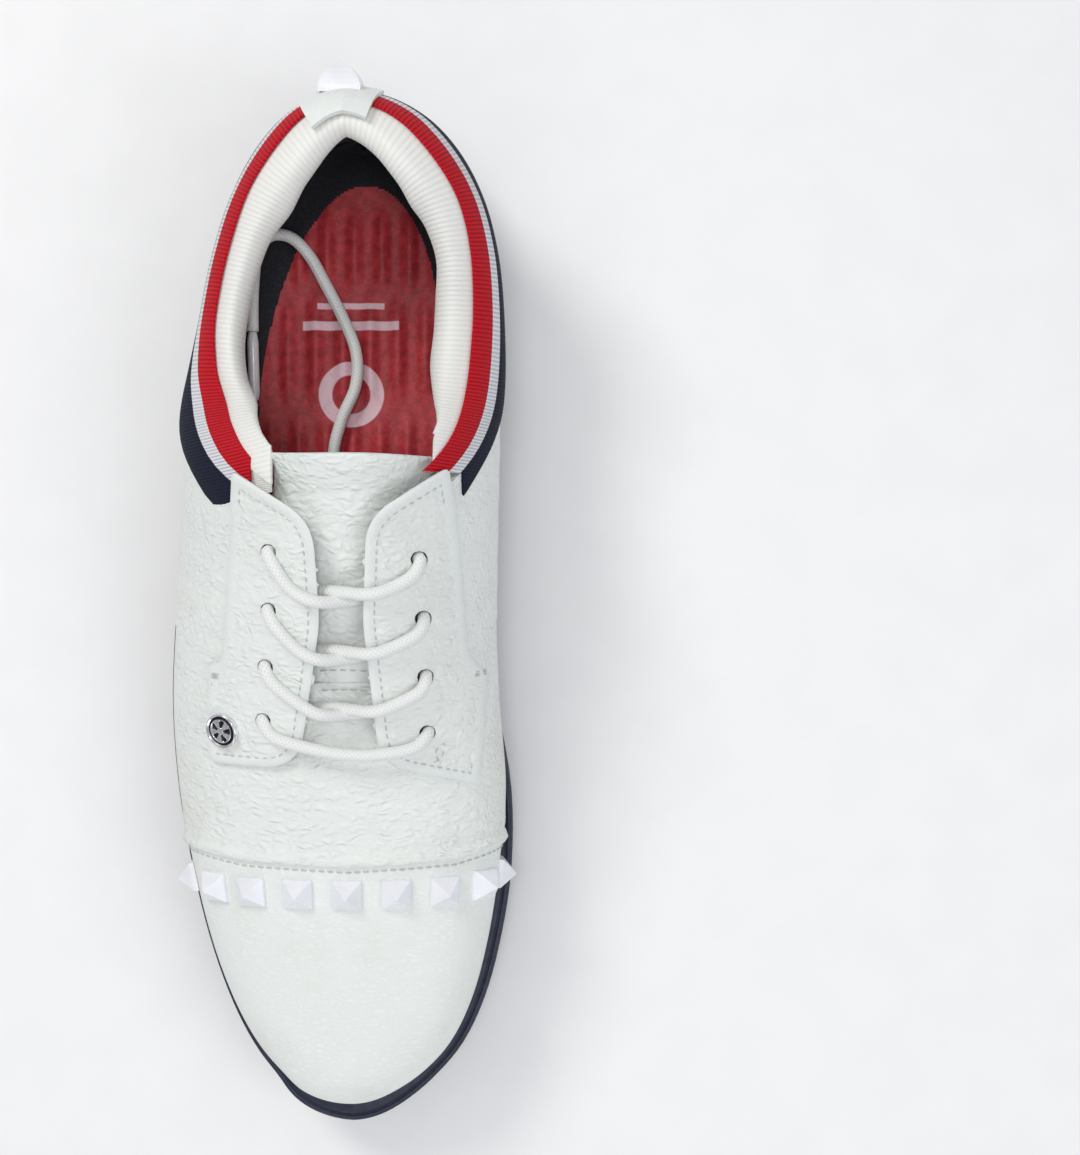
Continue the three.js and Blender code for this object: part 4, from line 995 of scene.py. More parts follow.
def toe_front(b):
    return np.full(np.shape(b), TOE_START)


def toe_back(b):
    return seam_station(b, UNDERLAP)


def on_the_last(a, b):
    return np.zeros(a.shape)


toe_cap = panel("toe_cap_leather", toe_front, toe_back, FULL_WIDTH, 90, on_the_last, CAP, 1.3)
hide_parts("toe_cap")

# %% [markdown]
# The vamp laps over the cap. Its front edge is folded under, so it ends in a plump band, and
# between the facings it dips to the tongue. Both are small offsets from the last, which keeps the
# grid simple.

# %% Vamp
def vamp_offset(a, b):
    p = last(a, b)
    ahead = p[..., 1] - np.interp(p[..., 0], seam_x, seam_y)
    band = 0.85 * np.exp(-(((ahead - 1.3) / 1.15) ** 2)) - 0.35 * np.exp(-(((ahead - 3.6) / 0.8) ** 2))
    dip = smooth((p[..., 1] + 42) / 13) * smooth((25 - np.abs(p[..., 0] - 1)) / 9)
    crease = 0
    for height, width, slant in ((0.12, 2.1, 0.05), (0.1, 3.3, -0.08)):
        crease = crease + height * np.sin(p[..., 1] / width + p[..., 0] * slant)
    bend = np.exp(-(((p[..., 1] + 47) / 9) ** 2)) * np.exp(-((p[..., 0] / 26) ** 2))
    return 0.55 * (1 - smooth((ahead - 1) / 9)) + 0.15 + band - 3.6 * dip + crease * bend


def vamp_back(b):
    """The vamp ends at the tongue in the middle and reaches back under the quarters on the walls."""
    return station(-17.5 + 33 * smooth((np.abs(b) - 0.3) / 0.14))


across = np.linspace(-1, 1, 141)
vamp = panel("vamp_leather", seam_station, vamp_back, across, 60, vamp_offset, PEBBLED, 1.2, 0.4)
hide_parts("vamp")

# %% [markdown]
# The opening's edge is low at the ankle bones and high at the heel and the instep. Its height is
# one curve along the shoe, which the leather, the ribbon and the knit all follow.

# %% The collar's height
topline = along([(24, 91), (36, 84.5), (45, 76.5), (55, 67), (65, 62), (76, 61), (90, 65.5), (105, 72.5),
                 (118, 79), (HALF, 83)])
LEATHER_DROP = 13.0

# %% [markdown]
# Each quarter runs from under its facing, along the wall, to the seam behind the heel, and ends
# below the topline under the ribbon. Slight ripples across it are where the hide was pulled over
# the last.

# %% Quarters
def quarter(name, side, node):
    t = np.linspace(0, 1, 46)[None, :]
    s = (1 - np.cos(np.linspace(0, np.pi, 120))) / 2
    s = s[:, None]
    start = station(6 - 19 * t)
    a = start + (0.9995 - start) * s
    y = y_of(a)
    ahead = np.abs(across_at(a, side * 20.0 + 1.0))
    behind = across_at_height(a, topline(a) - LEATHER_DROP)
    top = ahead + (behind - ahead) * smooth((y - 27) / 9)
    b = side * (1 + (top - 1) * t)
    ripple = 0.1 * np.sin(y / 1.9 + 9 * t) * smooth((y + 20) / 30) * np.exp(-(((t - 0.55) / 0.3) ** 2))
    obj = grid_piece(name, skin(a, b, 0.45 + ripple), PEBBLED)
    fix_normals(obj)
    face_out(obj)
    thicken(obj, 1.2, 0.35)
    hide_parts(node)
    return obj


quarter("quarter_outer_leather", -1, "quarter_lateral")
quarter("quarter_inner_leather", 1, "quarter_medial")
print("upper panels made")

# %% [markdown]
# ## Facings
# The eyelet facings have a free outline with holes, so they are drawn flat and filled with a
# constrained triangulation, then laid on the last. Points near the edge are lifted into the plump
# turned edge that a folded hide has, and the stitch line is pressed in beside it.

# %% Flat outlines
FACING_OUTER = [(-23.6, 37, 1), (-27.8, 5, 20), (-30, -10.4, 2), (-34.2, -12, 2), (-35.4, -36.9, 3),
                (-11.5, -38, 11), (-4, 0, 40), (-4.4, 25, 14)]
FACING_INNER = [(26.4, 38, 1), (28.8, 20, 20), (30.6, -9, 6), (35.4, -14.6, 2), (33.4, -43.2, 1.5),
                (9, -36.5, 11), (6.2, 0, 40), (8, 25.5, 14)]
EYELET_RADIUS = 2.0


def inside(points, loop):
    """Which points lie inside a closed outline."""
    x, y = points[:, 0], points[:, 1]
    hit = np.zeros(len(points), bool)
    for p, q in zip(loop, np.roll(loop, -1, 0)):
        crosses = (p[1] > y) != (q[1] > y)
        with np.errstate(divide="ignore", invalid="ignore"):
            hit ^= crosses & (x < (q[0] - p[0]) * (y - p[1]) / (q[1] - p[1]) + p[0])
    return hit


def distance_to(points, loop):
    best = np.full(len(points), 1e9)
    for p, q in zip(loop, np.roll(loop, -1, 0)):
        run = q - p
        t = np.clip(((points - p) @ run) / max(float(run @ run), 1e-9), 0, 1)
        best = np.minimum(best, np.linalg.norm(points - p - t[:, None] * run, axis=1))
    return best


def fill_flat(loop, holes, spacing):
    """Triangles inside an outline, around round holes, with an even scatter of points."""
    loop = resample(np.vstack([loop, loop[:1]]), spacing * 0.8)[:-1]
    low, high = loop.min(0), loop.max(0)
    xs = np.arange(low[0], high[0], spacing)
    ys = np.arange(low[1], high[1], spacing * 0.87)
    grid = np.array([(x + (j % 2) * spacing / 2, y) for j, y in enumerate(ys) for x in xs])
    keep = inside(grid, loop) & (distance_to(grid, loop) > 0.35 * spacing)
    rims = [np.array([(h[0] + EYELET_RADIUS * math.cos(t), h[1] + EYELET_RADIUS * math.sin(t))
                      for t in np.linspace(0, 2 * math.pi, 24, endpoint=False)]) for h in holes]
    for h in holes:
        keep &= np.linalg.norm(grid - np.array(h), axis=1) > EYELET_RADIUS + 0.35 * spacing
    grid = grid[keep]
    points = [tuple(p) for group in (loop, *rims, grid) for p in group]
    edges, first = [], 0
    for group in (loop, *rims):
        edges += [(first + k, first + (k + 1) % len(group)) for k in range(len(group))]
        first += len(group)
    made = geometry.delaunay_2d_cdt([Vector(p) for p in points], edges, [], 0, 1e-5)
    verts = np.array([tuple(v) for v in made[0]])
    faces = []
    for face in made[2]:
        centre = verts[list(face)].mean(0)[None]
        if not inside(centre, loop)[0]:
            continue
        if any(np.linalg.norm(centre[0] - np.array(h)) < EYELET_RADIUS * 0.97 for h in holes):
            continue
        faces.append(tuple(face))
    return verts, faces, loop


def facing(name, corners, eyelets, node):
    loop = rounded(corners, 9)
    verts, faces, edge = fill_flat(loop, eyelets, 1.15)
    away = distance_to(verts, edge)
    band = 0.32 * np.exp(-(((away - 1.1) / 0.85) ** 2)) - 0.3 * np.exp(-(away / 0.45) ** 2)
    sunk = -0.22 * np.exp(-(((away - 2.55) / 0.4) ** 2))
    rim = np.min([np.linalg.norm(verts - np.array(e), axis=1) for e in eyelets], axis=0) - EYELET_RADIUS
    sunk = sunk - 0.25 * np.exp(-(rim / 0.6) ** 2)
    back_lift = 0.5 * smooth((verts[:, 1] - 22) / 8)
    obj = piece(name, on_plan(verts, 1.55 + band + sunk + back_lift), faces, PEBBLED)
    fix_normals(obj)
    face_out(obj)
    obj.data.materials.append(SMOOTHED)
    centres = np.array([tuple(p.center) for p in obj.data.polygons]) / MM - SHIFT
    smooth_band = distance_to(centres[:, :2], np.array([on_plan([q], 1.5)[0, :2] for q in edge])) < 2.2
    for polygon, is_band in zip(obj.data.polygons, smooth_band):
        polygon.material_index = 1 if is_band else 0
    thicken(obj, 1.1, 0.25)
    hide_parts(node)
    for i, e in enumerate(eyelets):
        turn = np.linspace(0, 2 * np.pi, 21)[:-1]
        rows = [on_plan(np.stack([e[0] + r * np.cos(turn), e[1] + r * np.sin(turn)], 1), h)
                for r, h in ((EYELET_RADIUS + 0.1, 1.2), (EYELET_RADIUS + 0.1, 0.6), (0.1, 0.55))]
        well = grid_piece(f"{name}_eyelet_{i + 1}", np.array(rows), INSIDE, close_columns=True)
    return edge


edge_outer = facing("facing_outer_leather", FACING_OUTER, OUTER_EYELETS, "facing_lateral")
edge_inner = facing("facing_inner_leather", FACING_INNER, INNER_EYELETS, "facing_medial")
print("facings made, eyelets:", len(OUTER_EYELETS) + len(INNER_EYELETS))

# %% [markdown]
# ## Collar
# A foam roll inside white ribbed knit rims the opening, and a striped grosgrain ribbon is sewn over
# its outside. Both follow one cross-section, given by how far in and how far down each point lies
# from the topline, and swept from the outer facing round the heel to the inner one.

# %% Collar cross-section
ROLL = [(-0.6, 22), (-0.4, 15), (1.2, 8.5), (3.5, 3.6), (6.5, 1.2), (9.6, 0), (12.5, 0.8), (15.2, 3.2),
        (16.4, 7), (15.6, 11.5), (12, 16), (7, 19.5), (4.5, 21.5), (4.2, 24)]
RIBBON_IN = {  # how far in from the leather the ribbon ends, by side
    -1: along([(22, 1.0), (38, 4.0), (45, 6.8), (53, 8.8), (65, 6.6), (75, 4.8), (88, 4.2), (100, 3.9),
               (112, 3.2), (HALF, 2.4)]),
    1: along([(22, 0.4), (38, 1.4), (45, 3.0), (53, 5.0), (65, 5.8), (78, 5.2), (92, 4.3), (104, 3.5),
              (112, 3.1), (HALF, 2.4)]),
}
KNIT_IN = {  # how far in the knit roll reaches, by side
    -1: along([(22, 8), (38, 10), (45, 14), (53, 17), (63, 14.4), (72, 12.4), (83, 11.7), (93, 12),
               (101, 12.6), (110, 14.6), (121, 13.4), (HALF, 9.9)]),
    1: along([(22, 5), (38, 7), (45, 7.4), (53, 12.9), (62, 16.0), (75, 15.6), (83, 14.8), (93, 13.4),
              (103, 13.8), (111, 14.8), (121, 13.4), (HALF, 9.9)]),
}
ROLL_FINE = curve_through(ROLL, 79)
SUMMIT = 20  # where the ribbon meets the knit
ROLL_IN = 16.4  # how far in the drawn cross-section reaches


def collar_rows(front, first, final, offset):
    """Rows round the collar of the cross-section's points from first to final."""
    a0 = float(station(front))
    s = np.linspace(0, 1, 100)
    a = a0 + (1 - a0) * (1 - (1 - s) ** 1.6)
    rows = []
    for side in (-1, 1):
        group = []
        for here in a:
            edge = float(RIBBON_IN[side](here))
            reach = float(KNIT_IN[side](here)) - edge
            profile = ROLL_FINE.copy()
            summit = profile[SUMMIT, 0]
            inside_part = edge + (profile[:, 0] - summit) * reach / (ROLL_IN - summit)
            profile[:, 0] = np.where(np.arange(79) > SUMMIT, inside_part, profile[:, 0] * edge / summit)
            run = np.gradient(profile, axis=0)
            run /= np.linalg.norm(run, axis=1, keepdims=True)
            profile = profile + np.stack([run[:, 1], -run[:, 0]], 1) * offset
            top = float(topline(here))
            level = side * float(across_at_height(here, top))
            inward = -outward(here, level)
            inward[2] = 0
            if here > 0.999:
                inward = np.array([0.0, -1.0, 0.0])
            inward /= np.linalg.norm(inward)
            chosen = profile[first:final + 1]
            z = top - chosen[:, 1]
            base = last(here, side * across_at_height(np.full(len(z), here), z))
            group.append(base + chosen[:, :1] * inward)
        rows.append(group)
    lateral, medial = rows
    both = np.array(lateral + medial[-2::-1])
    middle = len(both) // 2
    for _ in range(14):  # the two sides meet behind the heel, so their join is eased
        near = np.exp(-(((np.arange(len(both)) - middle) / 7.0) ** 2))[1:-1, None, None]
        eased = 0.25 * both[:-2] + 0.5 * both[1:-1] + 0.25 * both[2:]
        both[1:-1] += near * (eased - both[1:-1])
    both[..., 1] += 2.0 * smooth((both[..., 1] - 108) / 16)  # the padding bulges out behind the heel
    gap = np.linalg.norm(np.diff(both[:, (final - first) // 2], axis=0), axis=1)
    u = np.concatenate([[0], np.cumsum(gap)])
    drop = np.linalg.norm(np.diff(both, axis=1), axis=2)
    v = np.concatenate([np.zeros((len(both), 1)), np.cumsum(drop, axis=1)], 1)
    uv = np.stack([np.broadcast_to(u[:, None], v.shape), v], -1) * MM
    return both, uv


# %% [markdown]
# Grosgrain is woven in flat stripes with a fine cross rib, and knit has soft ribs and a little
# fuzz. Both colours and ribs are worked out from the piece's UV map in real lengths, so the stripes
# keep their width all round the heel without a drawn picture. On both, the grooves between the ribs
# are painted darker as shade.

# %% Ribbon and knit finishes
ribbon_cloth, tree, shader = new_material("striped_grosgrain", (0.5, 0.02, 0.04), 0.75,
                                          Specular_IOR_Level=0.2)
uv = tree.nodes.new("ShaderNodeTexCoord").outputs["UV"]
split = tree.nodes.new("ShaderNodeSeparateXYZ")
tree.links.new(uv, split.inputs[0])
RIBBON_WIDTH = 0.0170
NAVY_TO, WHITE_TO = 0.0050, 0.0095  # from the ribbon's lower edge
navy_part = ramp(tree, split.outputs["Y"], NAVY_TO - 0.0001, NAVY_TO + 0.0001)
red_part = ramp(tree, split.outputs["Y"], WHITE_TO - 0.0001, WHITE_TO + 0.0001)
stripe = blend_colour(tree, navy_part, (0.008, 0.012, 0.032), (0.76, 0.77, 0.80))
stripe = blend_colour(tree, red_part, stripe, (0.60, 0.006, 0.018))
cord = use(tree, ribs, Pitch=0.00115)
# painted shade: each stripe is coloured darker in the grooves between the cross ribs
shade_in = maths(tree, "MULTIPLY", maths(tree, "SUBTRACT", 1.0, cord.outputs["Height"]), 0.6)
painted_groove_shade = blend_colour(tree, red_part, (0.50, 0.51, 0.56), (0.20, 0.0, 0.004))
painted_groove_shade = blend_colour(tree, navy_part, (0.002, 0.003, 0.008), painted_groove_shade)
tree.links.new(blend_colour(tree, shade_in, stripe, painted_groove_shade), shader.inputs["Base Color"])
bump(tree, shader, cord.outputs["Height"], 0.00030)


def knit(name, colour, pitch, depth):
    material, tree, shader = new_material(name, colour, 0.85, Sheen_Weight=0.35)
    cord = use(tree, ribs, Pitch=pitch)
    fuzz = texture(tree, "ShaderNodeTexNoise", place(tree), 2600.0, Detail=3.0)
    dirt = use(tree, soil, Amount=0.2)
    # painted shade: the knit is coloured darker in the gaps between the ribs; the soiling mix below is real
    # dirt
    gap = maths(tree, "MULTIPLY", maths(tree, "SUBTRACT", 1.0, cord.outputs["Height"]), 0.3)
    shade = blend_colour(tree, gap, colour, tuple(c * 0.72 for c in colour))
    tree.links.new(blend_colour(tree, dirt.outputs["Mask"], shade, (0.6, 0.52, 0.36)),
                   shader.inputs["Base Color"])
    first = bump(tree, shader, cord.outputs["Height"], depth)
    bump(tree, shader, fuzz.outputs["Fac"], 0.00008, before=first)
    return material


KNIT = knit("white_rib_knit", (0.83, 0.83, 0.79), 0.00125, 0.00010)

# %% [markdown]
# The knit is one roll over foam, and the ribbon lies outside it. At the front both end under the
# facings. A boolean could cut them there, but two or three straight cuts through the mesh are
# quicker and leave it clean.

# %% Ribbon, knit roll and foam
def trim(obj, back, middle_x, half_x):
    """Cuts away what would lie over the tongue, ahead of a line."""
    bm = bmesh.new()
    bm.from_mesh(obj.data)
    cuts = (((0, back, 0), (0, 1, 0)),
            ((middle_x - half_x, 0, 0), (1, 0, 0)),
            ((middle_x + half_x, 0, 0), (1, 0, 0)))
    for place_at, across in cuts:
        bmesh.ops.bisect_plane(bm, geom=bm.verts[:] + bm.edges[:] + bm.faces[:],
                               plane_co=Vector((np.array(place_at) + SHIFT) * MM), plane_no=across)
    gone = []
    for face in bm.faces:
        p = np.array(face.calc_center_median()) / MM - SHIFT
        if p[1] < back and abs(p[0] - middle_x) < half_x:
            gone.append(face)
    bmesh.ops.delete(bm, geom=gone, context="FACES")
    bm.to_mesh(obj.data)
    bm.free()


rows, uv = collar_rows(24, 3, SUMMIT, 1.25)
width = uv[:, -1:, 1].copy()
uv[..., 1] += RIBBON_WIDTH - width  # the stripes keep their distance from the edge at the knit
ribbon = grid_piece("ribbon", rows, ribbon_cloth, uv=uv)
fix_normals(ribbon)
face_out(ribbon)
trim(ribbon, 44.0, -10.2, 10.2)
trim(ribbon, 36.3, 15.0, 16.0)
thicken(ribbon, 0.7, 0.2)
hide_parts("collar_ribbon")
print("ribbon width, mm:", round(float(width.max()) / MM, 1))

rows, uv = collar_rows(22, SUMMIT - 3, 78, 0.0)
knit_roll = grid_piece("collar_knit", rows, KNIT, uv=uv)
fix_normals(knit_roll)
trim(knit_roll, 31.5, 2.0, 40.0)
trim(knit_roll, 46.0, 4.7, 19.7)
thicken(knit_roll, 0.9, 0.2)
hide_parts("collar_lining", "collar_padding")
print("knit roll, mm:", [round(d * 1000) for d in knit_roll.dimensions])

# %% [markdown]
# The heel tab is a folded strip of leather over the back of the collar. It uses the same
# cross-section, from below the ribbon, over the top and a little way down inside.

# %% Heel tab
TAB_HALF = 8.2
rows, uv = collar_rows(100, 6, 28, 2.3)
middle = len(rows) // 2
top_x = rows[:, 16, 0]
chosen = np.abs(top_x - rows[middle, 16, 0] + 1.3) < TAB_HALF
rows = rows[chosen]
heel_tab = grid_piece("heel_tab_leather", rows, FINE)
fix_normals(heel_tab)
face_out(heel_tab, (0, 0.05, 0.06))
thicken(heel_tab, 1.3, 0.45)
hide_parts("heel_tab")
print("heel tab width, mm:", round(float(np.ptp(rows[..., 0])), 1))

# %% [markdown]
# ## Studs and rivet
# The toe studs are square pyramids with a short skirt, moulded in white, and a larger one stands out
# at the heel. A four-sided cone would do, but a stack of square rings also gives the skirt and the
# bullet form of the heel stud. Each stands on the leather, square to it, where the CAD piece is.

# %% Studs
def basis(normal, towards):
    normal = normal / np.linalg.norm(normal)
    side = np.cross(towards, normal)
    side /= np.linalg.norm(side)
    return side, np.cross(normal, side), normal


def stud(name, centre, normal, towards, width, outline_points, node):
    side, up, out = basis(normal, np.asarray(towards, float))
    rows = []
    half = width / 2
    for level, size in outline_points:
        ring_points = []
        for k in range(16):
            turn = k / 16 * 4
            edge, t = int(turn), turn - int(turn)
            corners = [(1, 1), (-1, 1), (-1, -1), (1, -1), (1, 1)]
            p = np.array(corners[edge]) * (1 - t) + np.array(corners[edge + 1]) * t
            ring_points.append(centre + out * level + (side * p[0] + up * p[1]) * half * max(size, 0.012))
        rows.append(ring_points)
    obj = grid_piece(name, np.array(rows), STUD_WHITE, close_columns=True, caps=True, shade=False)
    fix_normals(obj)
    edge = obj.modifiers.new("edge", "BEVEL")
    edge.width = 0.22 * MM
    edge.segments = 2
    edge.limit_method = "ANGLE"
    edge.angle_limit = math.radians(25)
    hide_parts(node)
    return obj


STUD_WIDTH = 7.7
ON_TOP = 36.0  # a stud farther out stands on the side wall, so its height places it
PYRAMID = ((-0.6, 1.0), (0.5, 1.0), (0.75, 0.97), (4.73, 0.05), (4.8, 0.0))
BULLET = ((-0.6, 1.0), (1.2, 1.0), (2.4, 0.93), (3.7, 0.78), (5.0, 0.54), (6.1, 0.26), (6.7, 0.07),
          (6.9, 0.0))
for i in range(1, 10):
    low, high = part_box(f"toe_stud_{i}")
    centre = np.array([*(low + high)]) / 2 / MM - SHIFT
    guess_a = station(centre[1])
    if abs(centre[0]) < ON_TOP:
        level = across_at(guess_a, centre[0])
    else:
        level = np.sign(centre[0]) * across_at_height(guess_a, centre[2])
    normal = outward(guess_a, level)
    stud(f"stud_{i}", skin(guess_a, level, 0.2), normal, (0, 1, 0), STUD_WIDTH, PYRAMID, f"toe_stud_{i}")
low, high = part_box("heel_stud")
foot = np.array([(low.x + high.x) / 2, low.y, (low.z + high.z) / 2]) / MM - SHIFT
stud("stud_heel", foot + (0, 1.6, 0), np.array([0, 0.97, 0.22]), (0, 0, 1), 10.4, BULLET, "heel_stud")

# %% [markdown]
# The round rivet holds the outer facing's front corner. Its relief is a plain five-petal rosette.
# Rings of points with their height worked out from a cosine give the petals, and the low faces get
# the dark metal.

# %% Rivet
low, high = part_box("rivet_cap")
centre = np.array([*(low + high)]) / 2 / MM - SHIFT
spot = (-30.4, -28.0)
out = outward(station(spot[1]), across_at(station(spot[1]), spot[0]))
side, up, out = basis(out, np.array([0.0, 1.0, 0.0]))
RIVET_RADIUS = 4.6
rows = []
for radius in np.concatenate([np.linspace(0.02, 0.86, 26), [0.9, 0.94, 0.98, 1.0, 1.0]]):
    turn = np.linspace(0, 2 * np.pi, 81)[:-1]
    dome = 1.55 * (1 - 0.25 * radius**2)
    height = np.full(80, dome if radius < 0.87 else 1.45)
    petals = 0.5 + 0.5 * np.cos(5 * turn)
    if radius < 0.72:
        within = smooth((radius - 0.16) / 0.1) * smooth((0.66 - radius) / 0.08)
        height = height - 0.5 * smooth((petals - 0.5) / 0.3) * within
    if 0.72 <= radius < 0.87:
        height = height - 0.3
    if radius == 1.0:
        height = height - (0.5 if len(rows) == 29 else 1.9)
    rows.append(centre + out * (height[:, None] - 0.8) + RIVET_RADIUS * radius
                * (np.outer(np.cos(turn), side) + np.outer(np.sin(turn), up)))
rivet = grid_piece("rivet", np.array(rows), BRIGHT_METAL, close_columns=True)
rivet.data.materials.append(DARK_METAL)
for polygon in rivet.data.polygons:
    p = np.array(polygon.center) / MM - SHIFT - centre
    away = np.linalg.norm(p - out * np.dot(p, out)) / RIVET_RADIUS
    low_place = np.dot(p, out) + 0.8 < 1.55 * (1 - 0.25 * away**2) - 0.14
    polygon.material_index = 1 if low_place and away < 0.88 else 0
fix_normals(rivet)
face_out(rivet)
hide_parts("rivet_cap")
print("rivet faces:", len(rivet.data.polygons))

# %% [markdown]
# ## Tongue
# The tongue is a padded strip under the laces, sewn at its front to the vamp and free at its top. Its
# cover wraps round the edges, and a knit lining closes it below. Cloth simulation could pad it, but
# two arcs of one flattened oval, swept along the last, meet exactly. Both ride on the tongue's body.

# %% Tongue
TONGUE_BACK, TONGUE_FRONT = 38.8, -22.0
s = np.linspace(0, 1, 80)
y = TONGUE_FRONT + (TONGUE_BACK - TONGUE_FRONT) * s
a = station(y)
half = 17.6 + 6.4 * smooth((y - 12) / 15) - 5 * (1 - smooth((y + 27) / 32)) - 3.0 * smooth((y - 36) / 6) ** 3
thick = 5.6 * np.sqrt(np.clip((TONGUE_BACK - y) / 3.0, 0.02, 1)) * np.clip((y - TONGUE_FRONT) / 14, 0.3, 1)
depth = -4.6 + 1.1 * smooth((y - 28) / 10)


def tongue_sheet(name, start, end, count, material, node, grow=0.0):
    turn = np.linspace(start, end, count)
    wide = np.sign(np.cos(turn)) * np.abs(np.cos(turn)) ** (2 / 3.4)
    lift = np.sign(np.sin(turn)) * np.abs(np.sin(turn)) ** (2 / 2.6)
    x = 2.4 + 3.4 * smooth((y[:, None] - 20) / 15) + (half[:, None] + grow) * wide[None]
    crown = 0.7 * (1 - np.clip(wide, -1, 1) ** 2)[None]
    bunch = 0.16 * np.sin(y / 1.7) * smooth((y + 24) / 20) * np.exp(-((y - 4) / 24) ** 2)
    offset = depth[:, None] + crown + bunch[:, None] + (thick[:, None] / 2 + grow) * (lift - 1)[None]
    at = np.broadcast_to(a[:, None], x.shape)
    rows = skin(at, across_at(at, x), offset)
    obj = grid_piece(name, rows, material, body="tongue",
                     uv=np.stack([np.broadcast_to(y[:, None], x.shape), x], -1) * MM)
    fix_normals(obj)
    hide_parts(*node)
    return obj


cover = tongue_sheet("tongue_leather", -0.25, math.pi + 0.25, 70, PEBBLED, ["tongue_cover"])
face_out(cover)
thicken(cover, 0.9, 0.2)
tongue_sheet("tongue_knit", math.pi + 0.1, 2 * math.pi - 0.1, 40, KNIT, ["tongue_lining", "tongue_foam"],
             -0.3)
print("tongue cover, mm:", [round(d * 1000) for d in cover.dimensions])

# %% [markdown]
# ## Footbed
# A brushed red cloth is bonded over foam with long moulded bumps, and its edges turn up against the
# navy lining. The bumps are broad enough to need real shape, so they are raised in the grid itself.
# That shows them from any side, where a bump texture would look flat from low down.

# %% Footbed surface
BOARD, FOAM_THICK, COVER, CUP = 1.8, 3.6, 0.8, 4.0
FOOT_ROWS, FOOT_COLUMNS = 300, 170
s = (1 - np.cos(np.linspace(0.06, np.pi - 0.02, FOOT_ROWS))) / 2
t = np.linspace(-1, 1, FOOT_COLUMNS)
inset = -(FEATHER_INSET + 3.0) - 2.4 * (1 - smooth(s / 0.15))
left = outline(s, -1, inset)
right = outline(s, 1, inset)
rows = left[:, None] + (right - left)[:, None] * ((t + 1) / 2)[None, :, None]
y = rows[..., 1]
side_up = np.clip((np.abs(t) - 0.5) / 0.5, 0, None)[None] ** 2
end_up = np.clip((np.abs(2 * station(y_of(s)) - 1) - 0.86) / 0.14, 0, None)[:, None]
top = feather_height(s)[:, None] + BOARD + FOAM_THICK + COVER + 0.6
x = rows[..., 0]
bumps = 0.0
for row_y, shift, tall in ((98, 0.0, 10), (72, 3.2, 13), (40, 0.6, 13), (10, 3.0, 12), (-20, 0.0, 12)):
    near = np.exp(-(((y - row_y) / tall) ** 4))
    bumps = bumps + near * (0.5 + 0.5 * np.cos((x + shift) * 2 * np.pi / 7.4)) ** 1.5
flat_part = np.clip(1 - side_up * 2.5, 0, 1)
rows[..., 2] = top + CUP * np.clip(side_up + end_up, 0, 1) * 0.9 + (1.35 * bumps - 0.6) * flat_part - 0.3
print("footbed grid:", rows.shape[:2])

# %% [markdown]
# The cloth has a short nap that catches the light in patches. A plain ring and two bars are printed
# at the heel in pale pink, as a generic mark. Simple distances in the UV map draw them sharply at any
# size, and the nap wears them a little.

# %% Footbed cloth and print
red_cloth, tree, shader = new_material("red_brushed_cloth", (0.3, 0.012, 0.02), 0.5, Sheen_Weight=0.3)
spot = tree.nodes.new("ShaderNodeTexCoord").outputs["UV"]
nap = texture(tree, "ShaderNodeTexNoise", place(tree), 420.0, Detail=5.0, Roughness=0.7)
fine = texture(tree, "ShaderNodeTexNoise", place(tree), 2600.0, Detail=2.0)
tone = blend_colour(tree, ramp(tree, nap.outputs["Fac"], 0.3, 0.7), (0.30, 0.006, 0.014),
                    (0.52, 0.028, 0.038))
apart = tree.nodes.new("ShaderNodeSeparateXYZ")
tree.links.new(spot, apart.inputs[0])


def between(value, low, high, soft=0.0002):
    above = ramp(tree, value, low - soft, low + soft)
    below = ramp(tree, value, high + soft, high - soft)
    return maths(tree, "MULTIPLY", above, below)


def bar_mark(cx, cy, angle, long, wide):
    dx = maths(tree, "SUBTRACT", apart.outputs["X"], cx)
    dy = maths(tree, "SUBTRACT", apart.outputs["Y"], cy)
    c, sn = math.cos(angle), math.sin(angle)
    u = maths(tree, "ADD", maths(tree, "MULTIPLY", dx, c), maths(tree, "MULTIPLY", dy, sn))
    v = maths(tree, "SUBTRACT", maths(tree, "MULTIPLY", dy, c), maths(tree, "MULTIPLY", dx, sn))
    return maths(tree, "MULTIPLY", between(u, -long / 2, long / 2), between(v, -wide / 2, wide / 2))


away = tree.nodes.new("ShaderNodeVectorMath")
away.operation = "DISTANCE"
tree.links.new(spot, away.inputs[0])
away.inputs[1].default_value = (-0.001, 0.060, 0.0)
marks = between(away.outputs["Value"], 0.0052, 0.0088)
for bar_facts in ((-0.001, 0.0785, 0.0, 0.026, 0.0024), (-0.001, 0.0838, 0.0, 0.018, 0.0016)):
    marks = maths(tree, "MAXIMUM", marks, bar_mark(*bar_facts))
worn = maths(tree, "MULTIPLY", marks, ramp(tree, nap.outputs["Fac"], 0.2, 0.55, 0.75, 1.0))
tree.links.new(blend_colour(tree, worn, tone, (0.80, 0.56, 0.62)), shader.inputs["Base Color"])
bump(tree, shader, fine.outputs["Fac"], 0.00012)
print("footbed cloth nodes:", len(tree.nodes))

# %% [markdown]
# The red cloth ends in a rounded line, and outside it the footbed is as dark as the lining. Each face
# of the grid is given one finish or the other by where its centre lies, so no second sheet is needed.

